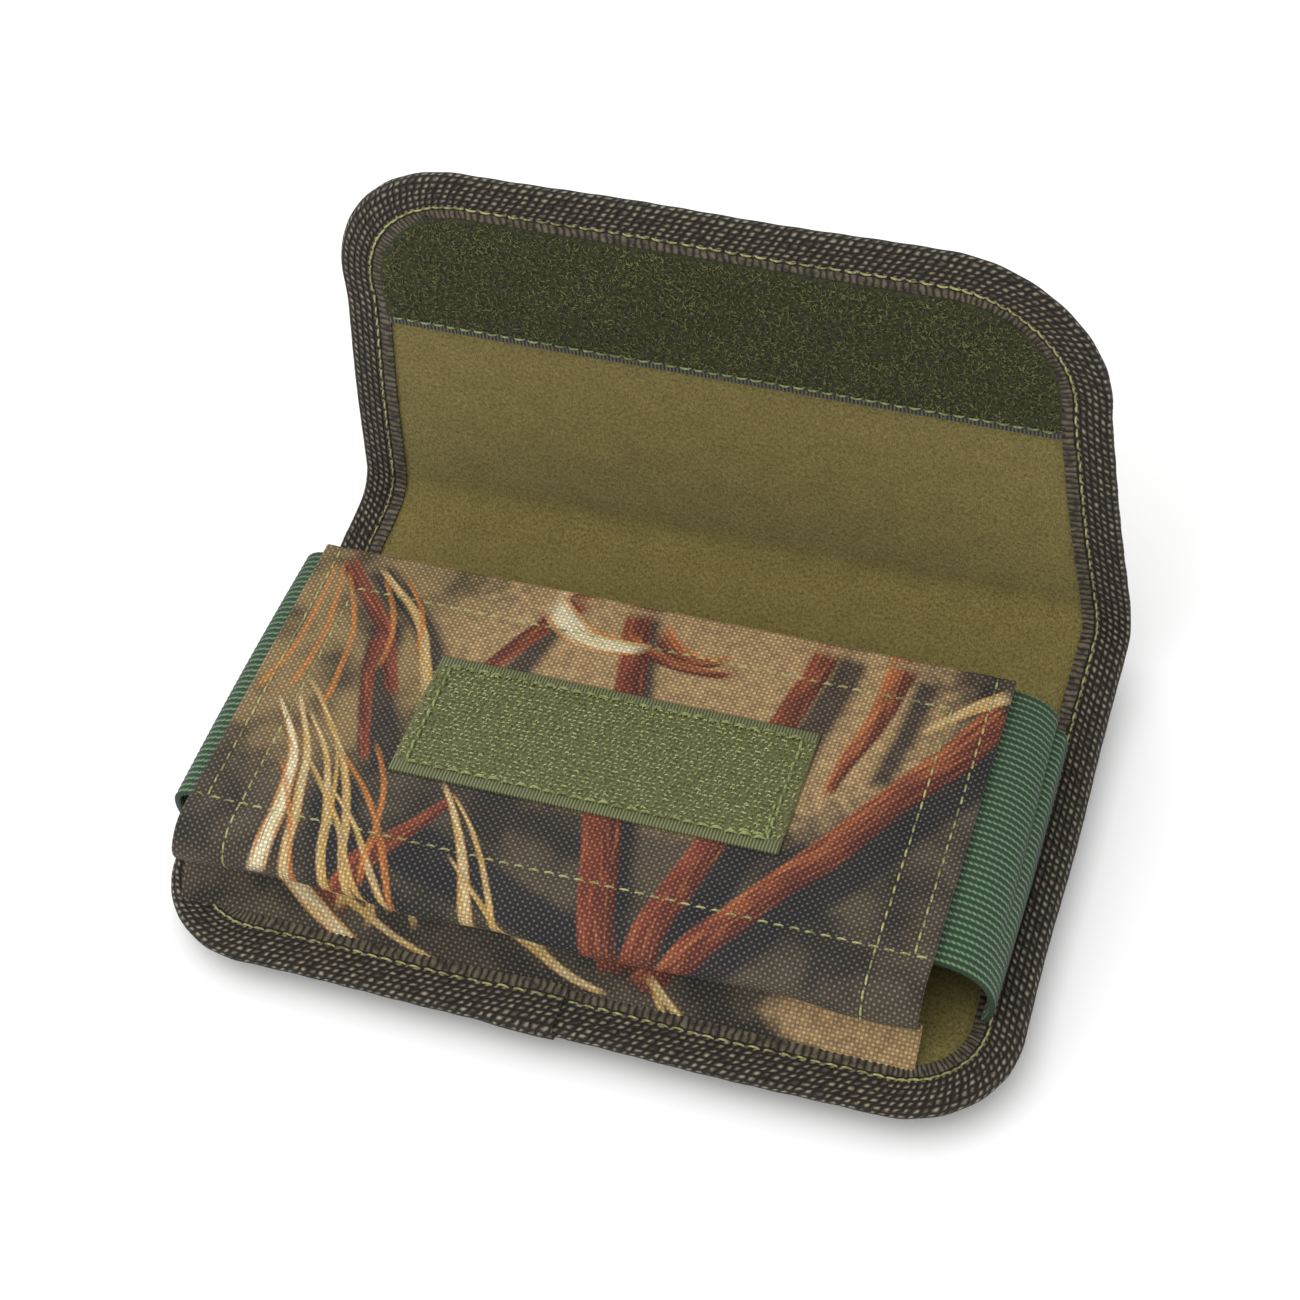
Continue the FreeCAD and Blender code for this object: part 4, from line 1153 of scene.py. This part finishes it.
# %% Webbing and its tacks
B_LOW, B_HIGH = low("belt_loop_left")[1], high("belt_loop_left")[1]
TAB, RAMP, WEB_THICK = 7.5, 4.0, 1.2
Z_TAB, Z_FLAT = SKIN_LOW - WEB_THICK / 2, WEB_THICK / 2
loop_line = Fold(rounded_run(
    [(B_LOW, Z_TAB), (B_LOW + TAB, Z_TAB), (B_LOW + TAB + RAMP, Z_FLAT),
     (B_HIGH - TAB - RAMP, Z_FLAT), (B_HIGH - TAB, Z_TAB), (B_HIGH, Z_TAB)],
    [2.0, 2.0, 2.0, 2.0]))
for side in ("left", "right"):
    x0, x1 = low("belt_loop_" + side)[0], high("belt_loop_" + side)[0]
    web = cut_sheet("belt_webbing_" + side, x0, x1, 0, loop_line.length, 1.6, 1.0)
    lay_map(web, lambda p: np.stack([p[:, 0] - x0, p[:, 1]], 1))
    p = points_of(web)
    move_points(web, loop_line(p[:, 0], p[:, 1], 0.0))
    apply(web, "SOLIDIFY", thickness=WEB_THICK - 0.06, offset=0)
    apply(web, "BEVEL", width=0.3, segments=2, limit_method="ANGLE", angle_limit=math.radians(60))
    settle(web, WEBBING, body="pouch", hides=("belt_loop_" + side,))
    rows = []

    def under(x, s, lift=0.0):
        return loop_line(x, s, -WEB_THICK / 2 - lift)

    for s0 in (1.4, loop_line.length - TAB + 1.4):
        box = [(x0 + 2.2, s0), (x1 - 2.2, s0), (x1 - 2.2, s0 + 4.6), (x0 + 2.2, s0 + 4.6)]
        for a, b in ((0, 1), (1, 2), (2, 3), (3, 0), (0, 2), (1, 3)):
            rows.append(seam(under, box[a], box[b], 0.02, 2.6))
    settle(set_copies("belt_tacks_" + side, STITCH, rows), THREAD, body="pouch",
           hides=("belt_tack_%s_lower" % side, "belt_tack_%s_upper" % side))
for spare in (STITCH, THICK_STITCH):
    bpy.data.objects.remove(spare)

# %% [markdown]
# ## Sheets
# The size each layer of cloth is cut to before it is sewn is worked out here; flat keeps none of
# it.

# %% Flat sizes
def flat(name, wide, long, held="folded", rests_on=()):
    wide * MM
    long * MM


for layer, inset in (("cloth", 0.9), ("lining", 1.1)):
    flat("lower_" + layer, 2 * (HALF - inset), SPINE_S - inset, rests_on=["binding_lower"])
    flat("upper_" + layer, 2 * (HALF - inset), LONG - SPINE_S - inset, rests_on=["binding_upper"])
flat("front_cover", F_RIGHT - F_LEFT, F_LONG, rests_on=["elastic_left", "elastic_right"])
flat("front_lining_sheet", F_RIGHT - F_LEFT - 2 * HEM,
     front_s(0) - front_s(LINING_LOW) + MOUTH - HEM, rests_on=["front_cover"])
for piece in (left, right):
    flat(piece.name, piece["cut_wide"], G_TOP - G_LOW,
         held="stretched", rests_on=["front_cover", "binding_lower"])

# %% [markdown]
# ## Table, light and camera
# A pale table, a wide soft light high at the front left and a weaker one high at the back left,
# as for a catalogue.

# %% Table and light
let_go()
bpy.ops.mesh.primitive_plane_add(size=6, location=(0, 0, 0))
table = bpy.context.object
table.name = "table_top"
cloth = Finish("table_white", Roughness=0.85, Specular_IOR_Level=0.2)
grain = cloth.noise(cloth.object_place(), 3.0, 2.0)
table.data.materials.append(
    cloth.done(cloth.mix(grain, shade(249, 249, 249), shade(252, 252, 252))))

world = bpy.data.worlds.new("studio")
bpy.context.scene.world = world
world.use_nodes = True
world.node_tree.nodes["Background"].inputs["Color"].default_value = (1, 1, 1, 1)
world.node_tree.nodes["Background"].inputs["Strength"].default_value = 0.82


def soft_light(name, size, place, aim, power):
    lamp = bpy.data.lights.new(name, "AREA")
    lamp.shape, lamp.size, lamp.energy = "SQUARE", size, power
    holder = bpy.data.objects.new(name, lamp)
    bpy.context.scene.collection.objects.link(holder)
    holder.location = place
    holder.rotation_euler = (Vector(aim) - Vector(place)).to_track_quat("-Z", "Y").to_euler()


soft_light("key", 1.3, (-0.35, -0.45, 0.85), (0, 0, 0.02), 6.0)
soft_light("fill", 1.3, (-0.5, 0.5, 0.8), (0, 0, 0.03), 3.0)
bpy.context.scene.view_settings.view_transform = "Standard"

# %% Camera
AIM = Vector((-0.01351, 0.04051, 0.0))
AZIMUTH, ELEVATION, ROLL, DISTANCE = (math.radians(21.05), math.radians(47.8),
                                      math.radians(-4.44), 0.57324)
back = Vector((math.sin(AZIMUTH) * math.cos(ELEVATION), -math.cos(AZIMUTH) * math.cos(ELEVATION),
               math.sin(ELEVATION)))
across = (-back).cross(Vector((0, 0, 1))).normalized()
up = across.cross(-back)
across, up = (across * math.cos(ROLL) + up * math.sin(ROLL),
              up * math.cos(ROLL) - across * math.sin(ROLL))
eye = bpy.data.cameras.new("studio_camera")
eye.sensor_width, eye.lens = 36.0, 72.70
camera = bpy.data.objects.new("studio_camera", eye)
bpy.context.scene.collection.objects.link(camera)
turned = Matrix((across, up, back)).transposed().to_4x4()
camera.matrix_world = Matrix.Translation(AIM + back * DISTANCE) @ turned
bpy.context.scene.camera = camera
